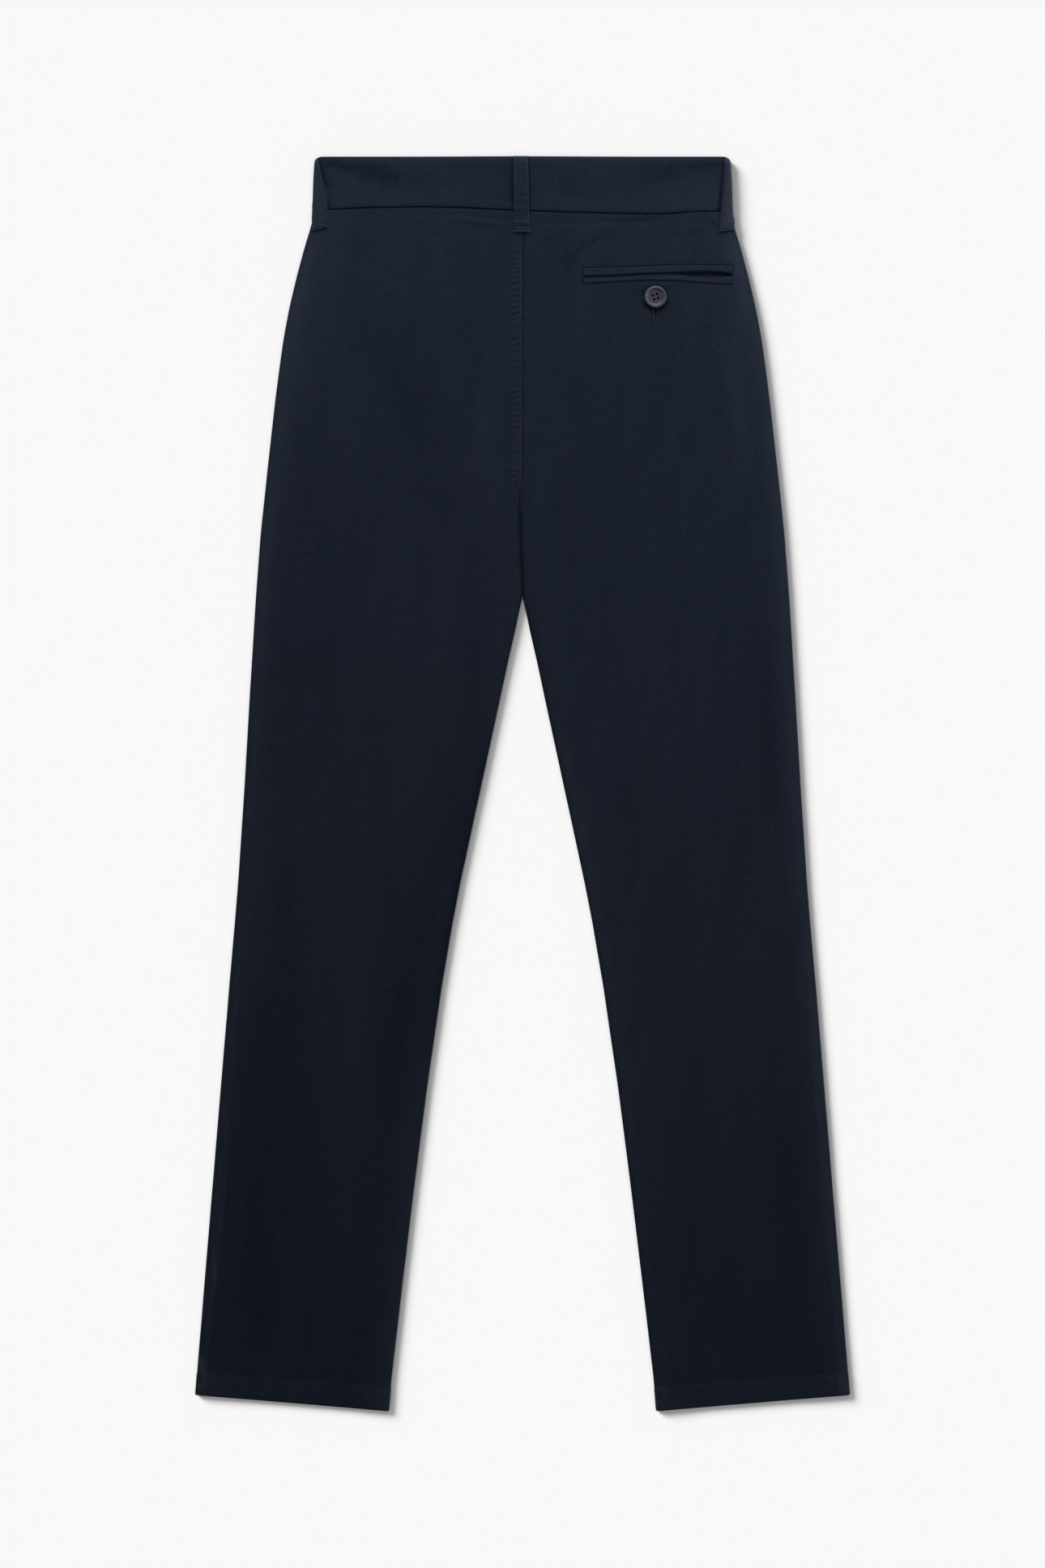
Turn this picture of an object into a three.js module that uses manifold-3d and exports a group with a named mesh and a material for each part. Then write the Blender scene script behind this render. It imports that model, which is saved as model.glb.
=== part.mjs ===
// Chino trousers laid flat with the back side up, in millimetres.
// The waist is at +Y, the hems at -Y, the surface they lie on is z = 0, and +X is the wearer's right.
// Lengths along the garment are given as "down": millimetres below the waist's top edge.
import * as THREE from "three";
import * as BufferGeometryUtils from "three/addons/utils/BufferGeometryUtils.js";
import Module from "manifold-3d";

// Driving dimensions
const LENGTH = 1036.6; // waist edge to the lowest point of the hems
const HEM_DEPTH = 20;
const HEM_RISE = 13.4; // how much higher a hem is at the side than at the inside leg
const HEM_RISE_START = 767.8; // down
const SEAM_GAP = 0.3;
const PANEL_WALL = 1.0;
const HEM_WALL = 1.8;
const BAND_WALL = 1.4;
const LOOP_WALL = 1.0;
const LOOP_GAP = 0.5; // between a loop and what it lies on
const LOOP_WIDTH = 12.4;
const SIDE_TURN = 15; // how far the back panel turns under at the side
const INSIDE_TURN = 12; // how far it turns under at the inside leg
const SIDE_SHOULDER = 10; // width of the rounding above a side fold
const INSIDE_SHOULDER = 8;
const NOSE_SHARE = 0.45; // radius of a fold as a share of its height
const NOSE_RISE = 55; // degrees of the fold's arc above its outermost point
const CROTCH_START = 271; // down, where the back panels begin to turn in between the legs
const CROTCH_END = 290.5;
const LOOP_RISE = LOOP_GAP + LOOP_WALL; // the loops under the front lift the waistband
const LOOP_RISE_FROM = 92; // down, where the front begins to rise from the surface
const LOOP_RISE_TO = 62;
const CENTRE_BUMP = 1.9; // the fly's layers and the waist button lift the back at its centre
const CENTRE_BUMP_WIDTH = 60;
const CENTRE_BUMP_LENGTH = 60;
const FRONT_SEAM_DOWN = 44.6; // where the waistband meets the front panels
const LOOP_PASS = 47.6; // down, where a loop passes from the waistband to the panel
const LOOP_END = 61.5;
const FRONT_LOOP_END = 60;
const FLY_LAP = 3; // the left front laps past the centre by this much
const FLY_UNDERLAP = 10;
const FLY_END = 215; // down, where the fly lap ends
const FLY_FADE = 15;
const FLY_CLIMB = { from: 22, to: 5 }; // left of the centre, where the right front climbs over the left
const BAND_UNDERLAP = 30;
const BAND_CLIMB = { from: 24, to: 6 };
const CROTCH_SHOULDER = 3; // rounding of the inner fold where it begins
const FACING_BEHIND_MOUTH = 18; // how far a front pocket's facing reaches in from its mouth
const FACING_OVER_SEAM = 6;
const FACING_BELOW_MOUTH = 8;
const BUTTON_STAND = 0.6; // the pocket button's height above the back
const THREAD_RADIUS = 1.3;
const POCKET_DEPTH = 1.5; // from the back's upper face down to the facing behind the pocket
const CUT = { above: 8, below: -2 }; // how far a cutting body reaches past the back's upper face
const POCKET_BUTTON = { x: 109.9, down: 116.2, radius: 9.05, height: 3.0, turn: 18 };
const WAIST_BUTTON = { x: -9, down: 23, radius: 8.6, height: 2.2, turn: 45 };
const BUTTON_RISE = 1.15; // the waist button lifts the band above it
const BUTTON_RISE_WIDTH = 26;
const SLANT = { waist: 118, side: 168, down: 186 }; // a front pocket's mouth, from the waist to the side

// Outline, a row for each level: half-width to the side fold and half the gap between the legs
const OUTLINE = [
  { down: 0, side: 170.5, gap: 0 },
  { down: 20, side: 171.5, gap: 0 },
  { down: 47, side: 172.6, gap: 0 },
  { down: 57, side: 174.6, gap: 0 },
  { down: 71, side: 179.2, gap: 0 },
  { down: 97.8, side: 186.5, gap: 0 },
  { down: 124.6, side: 192.9, gap: 0 },
  { down: 151.4, side: 197.9, gap: 0 },
  { down: 178.2, side: 201.6, gap: 0 },
  { down: 205, side: 205, gap: 0 },
  { down: 258.6, side: 211, gap: 0 },
  { down: 312.2, side: 216.7, gap: 0 },
  { down: 362.5, side: 220.5, gap: 0 },
  { down: 392.6, side: 222.4, gap: 6.3 },
  { down: 419.4, side: 224, gap: 12.4 },
  { down: 446.2, side: 225.7, gap: 18.1 },
  { down: 526.6, side: 230.4, gap: 35.5 },
  { down: 600, side: 235.3, gap: 51.3 },
  { down: 633.8, side: 238.1, gap: 57.9 },
  { down: 687.4, side: 242.8, gap: 67 },
  { down: 767.8, side: 249.5, gap: 78.7 },
  { down: 848.2, side: 256.2, gap: 89.1 },
  { down: 928.6, side: 262.9, gap: 98.8 },
  { down: 1009, side: 269.6, gap: 108.2 },
  { down: 1036.6, side: 271.8, gap: 110.5 },
];

// Place of the seat seam, and below the crotch of the line where the two legs touch
const CENTRE_LINE = [
  { down: 0, x: 0.3 },
  { down: 257, x: 0.3 },
  { down: 277, x: -2.8 },
  { down: 362.5, x: 0 },
];

// The waistband's seam across the back
const WAIST_SEAM = [
  { x: -160.8, down: 43.9 },
  { x: -130.7, down: 42.2 },
  { x: -85.1, down: 41.5 },
  { x: -57, down: 41.9 },
  { x: -7.4, down: 44.5 },
  { x: 36.9, down: 45.9 },
  { x: 77, down: 46.9 },
  { x: 114, down: 47.2 },
  { x: 148.7, down: 45.2 },
];

// Heights of a back panel's upper face above the surface
const LOFT = [
  { down: 45, side: 5.9, middle: 5.6, inside: 5.7 },
  { down: 125, side: 6.2, middle: 5.7, inside: 5.5 },
  { down: 205, side: 6.0, middle: 4.8, inside: 5.0 },
  { down: 290, side: 5.8, middle: 4.2, inside: 5.2 },
  { down: 420, side: 5.5, middle: 3.4, inside: 5.2 },
  { down: 700, side: 5.1, middle: 2.8, inside: 4.9 },
  { down: 980, side: 5.0, middle: 3.2, inside: 4.9 },
  { down: 1015, side: 5.2, middle: 4.2, inside: 5.1 },
  { down: 1036, side: 5.2, middle: 4.2, inside: 5.1 },
];
const SIDE_LOFT_WIDTH = 30;
const INSIDE_LOFT_WIDTH = 22;
const BAND_LOFT = 6.2;
const BAND_ROLL = 0.5; // the waistband rolls down towards its top edge
const BAND_ROLL_WIDTH = 4;

// Soft folds of the back, each a rounded ridge (height above 0) or trough along a line
const FOLDS = [
  { x0: -113, down0: 156, x1: -77, down1: 249, width: 20, height: -1.0 },
  { x0: 165, down0: 158, x1: 182, down1: 268, width: 9, height: 0.7 },
  { x0: 146, down0: 150, x1: 161, down1: 262, width: 11, height: -0.6 },
  { x0: -190, down0: 404, x1: -160, down1: 426, width: 10, height: 0.5 },
  { x0: 38, down0: 97, x1: 64, down1: 68, width: 8, height: -0.5 },
];

// The back pocket's edges and lips, in down at each place across
const POCKET = [
  { x: 49.9, top: 92.1, upperLip: 99.4, lowerLip: 99.8, bottom: 105.5 },
  { x: 76.4, top: 91.4, upperLip: 98.5, lowerLip: 98.9, bottom: 103.9 },
  { x: 100, top: 90.6, upperLip: 97.0, lowerLip: 97.4, bottom: 102.6 },
  { x: 125.3, top: 89.3, upperLip: 96.4, lowerLip: 97.0, bottom: 102.9 },
  { x: 138, top: 89.4, upperLip: 95.6, lowerLip: 98.5, bottom: 103.9 },
  { x: 150.8, top: 89.5, upperLip: 95.2, lowerLip: 99.4, bottom: 104.9 },
  { x: 163, top: 89.7, upperLip: 95.6, lowerLip: 99.3, bottom: 105.7 },
  { x: 173.5, top: 89.8, upperLip: 97.6, lowerLip: 98.2, bottom: 106.4 },
];

// Levels of the panels' rows below the waist seam
const PANEL_ROWS = [
  56, 66, 79, 93, 108, 124.6, 151.4, 178.2, 205, 231.8, 255, 271, 277.4, 284, 290.5, 312.2, 337, 362.5,
  392.6, 419.4, 473, 526.6, 600, 687.4, 767.8, 848.2, 928.6, 985,
];
const HEM_STEP = 1; // the wall thickens towards the hem over this length
const FLAT_COLUMNS = 8;
const FOLD_ANGLES = [-90, -54, -18, 18, NOSE_RISE];
const FRONT_COLUMNS = [0, 0.06, 0.12, 0.2, 0.5, 1];
const BAND_COLUMNS = [0.25, 0.5, 0.7, 0.8, 0.88, 0.94, 1];

// The waistband's rows from its seam to its top edge, and how far its faces are rounded there
const BAND_ROWS = [
  { share: 0, rounding: 0 },
  { share: 0.15, rounding: 0 },
  { share: 0.44, rounding: 0 },
  { share: 0.69, rounding: 0 },
  { share: 0.89, rounding: 0 },
  { share: 0.97, rounding: 0.1 },
  { share: 1, rounding: 0.45 },
];

// Levels and columns of a front pocket's facing
const FACING_ROWS = [56, 66, 79, 93, 120, 150];
const FACING_COLUMNS = [0, 0.5, 1];

// A welt's rows from its seam to its lip, as heights above the back's upper face
const WELT_ROWS = [
  { share: 0, outer: -0.1, inner: -1.1 },
  { share: 0.12, outer: 0.4, inner: -1.1 },
  { share: 0.8, outer: 0.5, inner: -1.1 },
  { share: 1, outer: -0.1, inner: -0.8 },
];

// Places of the facing behind the back pocket's slit
const SLIT_FACING = { xs: [47, 70, 95, 109.9, 125, 148, 171], downs: [86, 109, 124], wall: 0.9 };

// The buttonhole is pulled open by the button's thread at its upper end and closes to a point
const BUTTONHOLE = [
  { down: 114, half: 1.2 },
  { down: 115.7, half: 2.1 },
  { down: 119.2, half: 2.1 },
  { down: 139.5, half: 0.4 },
];

// A button's section, as shares of its radius and height, and its holes
const BUTTON_PROFILE = [
  { r: 0, z: 0 },
  { r: 0.9, z: 0 },
  { r: 1, z: 0.22 },
  { r: 1, z: 0.68 },
  { r: 0.95, z: 0.93 },
  { r: 0.87, z: 1 },
  { r: 0.78, z: 0.9 },
  { r: 0.67, z: 0.68 },
  { r: 0, z: 0.62 },
];
const HOLES = { angles: [45, 135, 225, 315], place: 0.27, radius: 0.105, sides: 10 };
const BUTTON_SIDES = { pocket: 28, waist: 20 };
const THREAD_SIDES = 12;

// Belt loops: rows along a loop, and how far its faces stand off what it lies on
const LOOP_ROWS = [
  { down: 0, outer: 1.1, inner: LOOP_GAP, arch: 0 },
  { down: 0.8, outer: LOOP_RISE, inner: LOOP_GAP, arch: 0 },
  { down: 5, outer: LOOP_RISE, inner: LOOP_GAP, arch: 0.2 },
  { down: 14, outer: LOOP_RISE, inner: LOOP_GAP, arch: 0.8 },
  { down: 25, outer: LOOP_RISE, inner: LOOP_GAP, arch: 1 },
  { down: 31.5, outer: LOOP_RISE, inner: LOOP_GAP, arch: 0.9 },
  { down: 38, outer: LOOP_RISE, inner: LOOP_GAP, arch: 0.7 },
  { down: 46, outer: LOOP_RISE, inner: LOOP_GAP, arch: 0.2 },
  { down: 52, outer: LOOP_RISE, inner: LOOP_GAP, arch: 0 },
  { down: 57, outer: LOOP_RISE, inner: LOOP_GAP, arch: 0 },
  { down: 61.5, outer: LOOP_RISE, inner: LOOP_GAP, arch: 0 },
];
const LOOP_ARCH = 1.0;
const CENTRE_LOOP = { top: -1.6, bottom: -0.4 };
const FRONT_LOOP_X = 98;
const SIDE_LOOP_STEPS = 12;
const LEFT_LOOP_EDGE = [
  { down: 0, x: 169 },
  { down: 20, x: 165.3 },
  { down: 31.5, x: 163.3 },
  { down: 45.6, x: 161.5 },
  { down: 62, x: 161.3 },
];
const RIGHT_LOOP_EDGE = [
  { down: 0, x: 166.8 },
  { down: 16, x: 166.6 },
  { down: 38.6, x: 164.6 },
  { down: 46.9, x: 163.5 },
  { down: 62, x: 161.9 },
];

// Colours of the cloth, buttons and thread
const finish = (color, roughness) => new THREE.MeshStandardMaterial({ color, roughness, metalness: 0 });
const TWILL = finish(0x1a212d, 0.9);
const BAND_TWILL = finish(0x1d2531, 0.9);
const LOOP_TWILL = finish(0x222a37, 0.9);
const PLASTIC = finish(0x30333f, 0.45);
const THREAD = finish(0x262c3a, 0.8);

const wasm = await Module();
wasm.setup();

const radians = THREE.MathUtils.degToRad;
const { lerp: mix, clamp, smoothstep } = THREE.MathUtils;
const bell = (distance, width) => Math.exp(-((distance / width) ** 2));
const yAt = (down) => LENGTH / 2 - down;

// Value of a named column of a table at a place, on straight lines between the rows
function read(table, column, at, key = "down") {
  if (at <= table[0][key]) return table[0][column];
  for (let i = 1; i < table.length; i++) {
    const [a, b] = [table[i - 1], table[i]];
    if (at <= b[key]) return mix(a[column], b[column], (at - a[key]) / (b[key] - a[key]));
  }
  return table[table.length - 1][column];
}

// Distance from a point to a fold's line
function distanceToFold(fold, x, down) {
  const [ax, ay] = [fold.x1 - fold.x0, fold.down1 - fold.down0];
  const [px, py] = [x - fold.x0, down - fold.down0];
  const along = clamp((px * ax + py * ay) / (ax * ax + ay * ay), 0, 1);
  return Math.hypot(px - along * ax, py - along * ay);
}

const hemShare = (down) => Math.max(0, (down - HEM_RISE_START) / (LENGTH - HEM_RISE_START));
const sideAt = (down) => read(OUTLINE, "side", down - HEM_RISE * hemShare(down));
const insideAt = (side, down) =>
  read(OUTLINE, "gap", down) + SEAM_GAP / 2 + side * read(CENTRE_LINE, "x", down);

// A hem rises towards the side: y of a point in a row of the leg
function rowY(side, u, down) {
  const inside = insideAt(side, down);
  const across = clamp((u - inside) / (sideAt(down) - inside), 0, 1);
  return yAt(down) + HEM_RISE * hemShare(down) * across;
}

// How far the fronts are lifted off the surface by the loops and the waist button
const bandRise = (x) => LOOP_RISE + BUTTON_RISE * bell(x - WAIST_BUTTON.x, BUTTON_RISE_WIDTH);
const frontRise = (x, down) => bandRise(x) * smoothstep(-down, -LOOP_RISE_FROM, -LOOP_RISE_TO);

// 1 at the centre and to its right, 0 further left: where the right half lies over the left one
const climb = (x, range) => smoothstep(x, -range.from, -range.to);

const centreBump = (x, down) =>
  CENTRE_BUMP * bell(x, CENTRE_BUMP_WIDTH) * bell(Math.max(0, down - FRONT_SEAM_DOWN), CENTRE_BUMP_LENGTH);

// Height of a back panel's upper face: low in the middle, fuller beside the folds
function panelHeight(side, u, down) {
  const middle = read(LOFT, "middle", down);
  const fromSide = Math.max(0, sideAt(down) - SIDE_SHOULDER - u);
  const fromInside = Math.max(0, u - insideAt(side, down) - INSIDE_SHOULDER);
  let height = middle;
  height += (read(LOFT, "side", down) - middle) * bell(fromSide, SIDE_LOFT_WIDTH);
  height += (read(LOFT, "inside", down) - middle) * bell(fromInside, INSIDE_LOFT_WIDTH);
  for (const fold of FOLDS) height += fold.height * bell(distanceToFold(fold, side * u, down), fold.width);
  return height + centreBump(side * u, down);
}

// Height of the waistband's upper face
function bandHeight(u, down) {
  return BAND_LOFT + centreBump(u, down) - BAND_ROLL * bell(down, BAND_ROLL_WIDTH);
}

// Points of a fold from the shoulder on top, round the nose, to the underside and along it.
// edge is the outermost place, way is +1 where the cloth turns towards larger u.
function foldPoints(edge, way, height, rise, shoulder, turn) {
  const radius = NOSE_SHARE * (height - rise);
  const at = (degrees) => ({
    u: edge - way * radius * (1 - Math.cos(radians(degrees))),
    z: rise + radius * (1 + Math.sin(radians(degrees))),
    nu: way * Math.cos(radians(degrees)),
    nz: Math.sin(radians(degrees)),
  });
  const nose = FOLD_ANGLES.map(at).reverse();
  const top = { u: edge - way * shoulder, z: height, nu: 0, nz: 1 };
  const first = nose[0];
  const corner = first.u - (way * (height - first.z) * first.nz) / Math.abs(first.nu);
  const middle = {
    u: (top.u + 2 * corner + first.u) / 4,
    z: (3 * height + first.z) / 4,
    nu: way * Math.sin(radians(90 - NOSE_RISE) / 2),
    nz: Math.cos(radians(90 - NOSE_RISE) / 2),
  };
  const under = { u: edge - way * turn, z: rise, nu: 0, nz: -1 };
  return [top, middle, ...nose, under];
}

// A path cut to its first share and divided evenly again
function shorten(path, share, count) {
  const lengths = [0];
  for (let i = 1; i < path.length; i++)
    lengths.push(lengths[i - 1] + Math.hypot(path[i].u - path[i - 1].u, path[i].z - path[i - 1].z));
  const rows = path.map((point, i) => ({ ...point, length: lengths[i] }));
  const total = share * lengths[lengths.length - 1];
  return Array.from({ length: count }, (_, i) => pointAlong(rows, (total * i) / (count - 1)));
}

function pointAlong(rows, length) {
  const point = {};
  for (const column of ["u", "z", "nu", "nz"]) point[column] = read(rows, column, length, "length");
  const size = Math.hypot(point.nu, point.nz);
  return { ...point, nu: point.nu / size, nz: point.nz / size };
}

// Flat stretch of a section from u0 to u1, its ends left out
function flatPoints(height, u0, u1, count) {
  const points = [];
  for (let i = 1; i < count; i++) {
    const u = mix(u0, u1, i / count);
    const slope = height(u + 1) / 2 - height(u - 1) / 2;
    points.push({ u, z: height(u), nu: -slope / Math.hypot(1, slope), nz: 1 / Math.hypot(1, slope) });
  }
  return points;
}

// Section of a back panel, from the seat seam or inseam to the side seam
function backSection(side, down) {
  const height = (u) => panelHeight(side, u, down);
  const [inside, edge] = [insideAt(side, down), sideAt(down)];
  const rise = (u) => frontRise(side * u, down);
  const sideTop = edge - SIDE_SHOULDER;
  const insideTop = inside + INSIDE_SHOULDER;
  const turned = clamp((down - CROTCH_START) / (CROTCH_END - CROTCH_START), 0, 1);
  const sideFold = foldPoints(edge, 1, height(sideTop), rise(edge), SIDE_SHOULDER, SIDE_TURN);
  const shoulder = mix(CROTCH_SHOULDER, INSIDE_SHOULDER, turned);
  let start = foldPoints(inside, -1, height(insideTop), 0, shoulder, INSIDE_TURN);
  if (turned === 0) start = flatPoints(height, insideTop, inside, start.length);
  else if (turned < 1) start = shorten(start, turned, start.length);
  if (turned === 0) start.push({ ...start[start.length - 1], u: inside });
  start.reverse();
  if (turned < 1) start.push({ u: insideTop, z: height(insideTop), nu: 0, nz: 1 });
  else start.splice(start.length - 1, 0, start[start.length - 1]);
  if (turned === 1) start[start.length - 1] = { ...start[start.length - 1], u: insideTop + 1 };
  const lastTop = start[start.length - 1].u;
  return [...start, ...flatPoints(height, lastTop, sideTop, FLAT_COLUMNS), ...sideFold];
}

// Section of a waistband half, from the centre back round the side to the centre front
function bandSection(side, down) {
  const height = (u) => bandHeight(u, down);
  const [inside, edge] = [insideAt(side, 0), read(OUTLINE, "side", down)];
  const rise = bandRise(edge);
  const sideTop = edge - SIDE_SHOULDER;
  const end = side < 0 ? -FLY_LAP : -BAND_UNDERLAP;
  const start = { u: inside, z: height(inside), nu: 0, nz: 1 };
  const under = [];
  for (const share of BAND_COLUMNS) {
    const u = mix(edge - SIDE_TURN, end, share);
    const lap = side > 0 ? (BAND_WALL + SEAM_GAP) * climb(-u, BAND_CLIMB) : 0;
    under.push({ u, z: bandRise(side * u) + lap, nu: 0, nz: -1 });
  }
  return [
    start,
    ...flatPoints(height, inside, sideTop, FLAT_COLUMNS),
    ...foldPoints(edge, 1, height(sideTop), rise, SIDE_SHOULDER, SIDE_TURN),
    ...under,
  ];
}

// Closed body between a grid of outer points and the matching grid of inner points
function sheet(outer, inner) {
  const [rows, columns] = [outer.length, outer[0].length];
  const positions = [...outer.flat(), ...inner.flat()].flat();
  const at = (i, j, layer) => layer * rows * columns + i * columns + j;
  const faces = [];
  const quad = (a, b, c, d) => faces.push(a, b, c, a, c, d);
  for (let i = 0; i + 1 < rows; i++)
    for (let j = 0; j + 1 < columns; j++) {
      quad(at(i, j, 0), at(i, j + 1, 0), at(i + 1, j + 1, 0), at(i + 1, j, 0));
      quad(at(i, j, 1), at(i + 1, j, 1), at(i + 1, j + 1, 1), at(i, j + 1, 1));
    }
  for (let j = 0; j + 1 < columns; j++) {
    quad(at(0, j, 0), at(0, j, 1), at(0, j + 1, 1), at(0, j + 1, 0));
    quad(at(rows - 1, j, 0), at(rows - 1, j + 1, 0), at(rows - 1, j + 1, 1), at(rows - 1, j, 1));
  }
  for (let i = 0; i + 1 < rows; i++) {
    quad(at(i, 0, 0), at(i + 1, 0, 0), at(i + 1, 0, 1), at(i, 0, 1));
    quad(at(i, columns - 1, 0), at(i, columns - 1, 1), at(i + 1, columns - 1, 1), at(i + 1, columns - 1, 0));
  }
  return facingOut(positions, faces);
}

// Geometry of a closed body, its faces turned round where they point inwards
function facingOut(positions, faces) {
  const point = (i) => new THREE.Vector3().fromArray(positions, 3 * i);
  let volume = 0;
  for (let i = 0; i < faces.length; i += 3)
    volume += point(faces[i]).dot(point(faces[i + 1]).cross(point(faces[i + 2])));
  if (volume < 0) faces.reverse();
  const geometry = new THREE.BufferGeometry();
  geometry.setAttribute("position", new THREE.Float32BufferAttribute(positions, 3));
  geometry.setIndex(faces);
  return geometry;
}

function solidOf(geometry) {
  const plain = geometry.clone();
  plain.deleteAttribute("normal");
  plain.deleteAttribute("uv");
  const merged = BufferGeometryUtils.mergeVertices(plain, 1e-4);
  return new wasm.Manifold(
    new wasm.Mesh({
      numProp: 3,
      vertProperties: merged.attributes.position.array,
      triVerts: new Uint32Array(merged.index.array),
    }),
  );
}

// What is left of a body when the tools are cut away from it
function cut(geometry, tools) {
  let solid = solidOf(geometry);
  for (const tool of tools) solid = solid.subtract(solidOf(tool));
  const { vertProperties, triVerts } = solid.getMesh();
  return facingOut([...vertProperties], [...triVerts]);
}

// Moves a section's points out (or in) along their normals and places them in a row
function placeRow(side, section, y, offset) {
  return section.map(({ u, z, nu, nz }, i) => [side * (u + offset * nu), y(section[i]), z + offset * nz]);
}

// Back panel with its hem turned up inside
function backPanel(side) {
  const hem = LENGTH - HEM_DEPTH;
  const rows = [FRONT_SEAM_DOWN, ...PANEL_ROWS, hem - HEM_STEP, hem, LENGTH];
  const [outer, inner] = [[], []];
  for (const down of rows) {
    const section = backSection(side, down);
    const wall = down >= hem ? HEM_WALL : PANEL_WALL;
    const y =
      down === FRONT_SEAM_DOWN
        ? (point) => yAt(seamDown(side, point) + SEAM_GAP / 2)
        : (point) => rowY(side, point.u, down);
    outer.push(placeRow(side, section, y, 0));
    inner.push(placeRow(side, section, y, -wall));
  }
  const body = sheet(outer, inner);
  return side > 0 ? cut(body, [pocketSlot(), buttonholeSlot()]) : body;
}

// The waist seam curves across the back and runs level across the front
function seamDown(side, point) {
  return mix(FRONT_SEAM_DOWN, read(WAIST_SEAM, "down", side * point.u, "x"), (1 + point.nz) / 2);
}

function waistbandHalf(side) {
  const [outer, inner] = [[], []];
  for (const { share, rounding } of BAND_ROWS) {
    const section = bandSection(side, mix(FRONT_SEAM_DOWN, 0, share));
    const y = (point) => yAt(mix(seamDown(side, point) - SEAM_GAP / 2, 0, share));
    outer.push(placeRow(side, section, y, -rounding));
    inner.push(placeRow(side, section, y, rounding - BAND_WALL));
  }
  return sheet(outer, inner);
}

// Level sheet of the front: rows of plan points, its outer face at the height of lift
function levelSheet(rows, lift, wallAt) {
  const outer = rows.map((row) => row.map(([x, y, down]) => [x, y, lift(x, down)]));
  const inner = rows.map((row) => row.map(([x, y, down]) => [x, y, lift(x, down) + wallAt(down)]));
  return sheet(outer, inner);
}

// Inner edge of a front panel: the fly, the centre seam, and the inseam below the crotch
function frontInside(side, down) {
  const centre = insideAt(side, down);
  if (down > CROTCH_START) {
    const turned = Math.min(1, (down - CROTCH_START) / (CROTCH_END - CROTCH_START));
    return centre + mix(INSIDE_TURN / 2, INSIDE_TURN, turned) + SEAM_GAP;
  }
  const lap = side < 0 ? -FLY_LAP : -FLY_UNDERLAP;
  return mix(lap, centre, smoothstep(down, FLY_END - FLY_FADE, FLY_END));
}

// Outer edge of a front panel: the slanted pocket mouth, then the side seam
function frontOutside(down) {
  const seam = sideAt(down) - SIDE_TURN - SEAM_GAP;
  if (down > SLANT.down) return seam;
  return mix(SLANT.waist, SLANT.side, (down - FRONT_SEAM_DOWN) / (SLANT.down - FRONT_SEAM_DOWN));
}

function frontPanel(side) {
  const hem = LENGTH - HEM_DEPTH;
  const downs = [FRONT_SEAM_DOWN + SEAM_GAP / 2, ...PANEL_ROWS, hem - HEM_STEP, hem, LENGTH];
  downs.push(SLANT.down, SLANT.down + SEAM_GAP, FLY_END);
  downs.sort((a, b) => a - b);
  const rows = downs.map((down) => {
    const [inside, outside] = [frontInside(side, down), frontOutside(down)];
    return FRONT_COLUMNS.map((share) => {
      const u = mix(inside, outside, share);
      return [side * u, rowY(side, u, down), down];
    });
  });
  const flyLift = (x, down) => {
    const above = 1 - smoothstep(down, FLY_END, FLY_END + FLY_FADE);
    return side > 0 ? (PANEL_WALL + SEAM_GAP) * climb(-x, FLY_CLIMB) * above : 0;
  };
  const lift = (x, down) => frontRise(x, down) + flyLift(x, down);
  return levelSheet(rows, lift, (down) => (down >= hem ? HEM_WALL : PANEL_WALL));
}

// The facing behind a slanted front pocket, above the front panel and the turned side of the back
function frontFacing(side) {
  const downs = [FRONT_SEAM_DOWN + SEAM_GAP / 2, ...FACING_ROWS, SLANT.down + FACING_BELOW_MOUTH];
  const rows = downs.map((down) => {
    const inside = frontOutside(Math.min(down, SLANT.down)) - FACING_BEHIND_MOUTH;
    const outside = sideAt(down) - SIDE_TURN + FACING_OVER_SEAM;
    return FACING_COLUMNS.map((share) => {
      const u = mix(inside, outside, share);
      return [side * u, yAt(down), down];
    });
  });
  return levelSheet(rows, (x, down) => frontRise(x, down) + PANEL_WALL + SEAM_GAP, () => PANEL_WALL);
}

// Upper surface of the back at the right, moved out by offset
const onBack = (x, down, offset) => [x, yAt(down), panelHeight(1, x, down) + offset];

// Body that follows the back panel: downAt gives its rows, faces its outer and inner offset
function overPocket(xs, downAt, faces) {
  const grid = (layer) => faces.map((row, i) => xs.map((x) => onBack(x, downAt(x, i), row[layer])));
  return sheet(grid("outer"), grid("inner"));
}

const pocketPlaces = (gap) => {
  const xs = POCKET.map((row) => row.x);
  return [xs[0] + gap, ...xs.slice(1, -1), xs[xs.length - 1] - gap];
};

function pocketSlot() {
  const edges = ["top", "bottom"];
  const faces = edges.map(() => ({ outer: CUT.above, inner: CUT.below }));
  return overPocket(pocketPlaces(0), (x, i) => read(POCKET, edges[i], x, "x"), faces);
}

function buttonholeSlot() {
  const edge = (row, way, offset) => onBack(POCKET_BUTTON.x + way * row.half, row.down, offset);
  const grid = (offset) => BUTTONHOLE.map((row) => [edge(row, -1, offset), edge(row, 1, offset)]);
  return sheet(grid(CUT.above), grid(CUT.below));
}

// A welt lies in the slot from its seam to its lip, rounded over the lip
function welt(seamColumn, lipColumn) {
  const downAt = (x, i) => {
    const [seam, lip] = [read(POCKET, seamColumn, x, "x"), read(POCKET, lipColumn, x, "x")];
    const start = seam + SEAM_GAP * Math.sign(lip - seam);
    return mix(start, lip, WELT_ROWS[i].share);
  };
  return overPocket(pocketPlaces(SEAM_GAP), downAt, WELT_ROWS);
}

function pocketFacing() {
  const { xs, downs, wall } = SLIT_FACING;
  const faces = downs.map(() => ({ outer: -POCKET_DEPTH, inner: -POCKET_DEPTH - wall }));
  return overPocket(xs, (_, i) => downs[i], faces);
}

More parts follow.
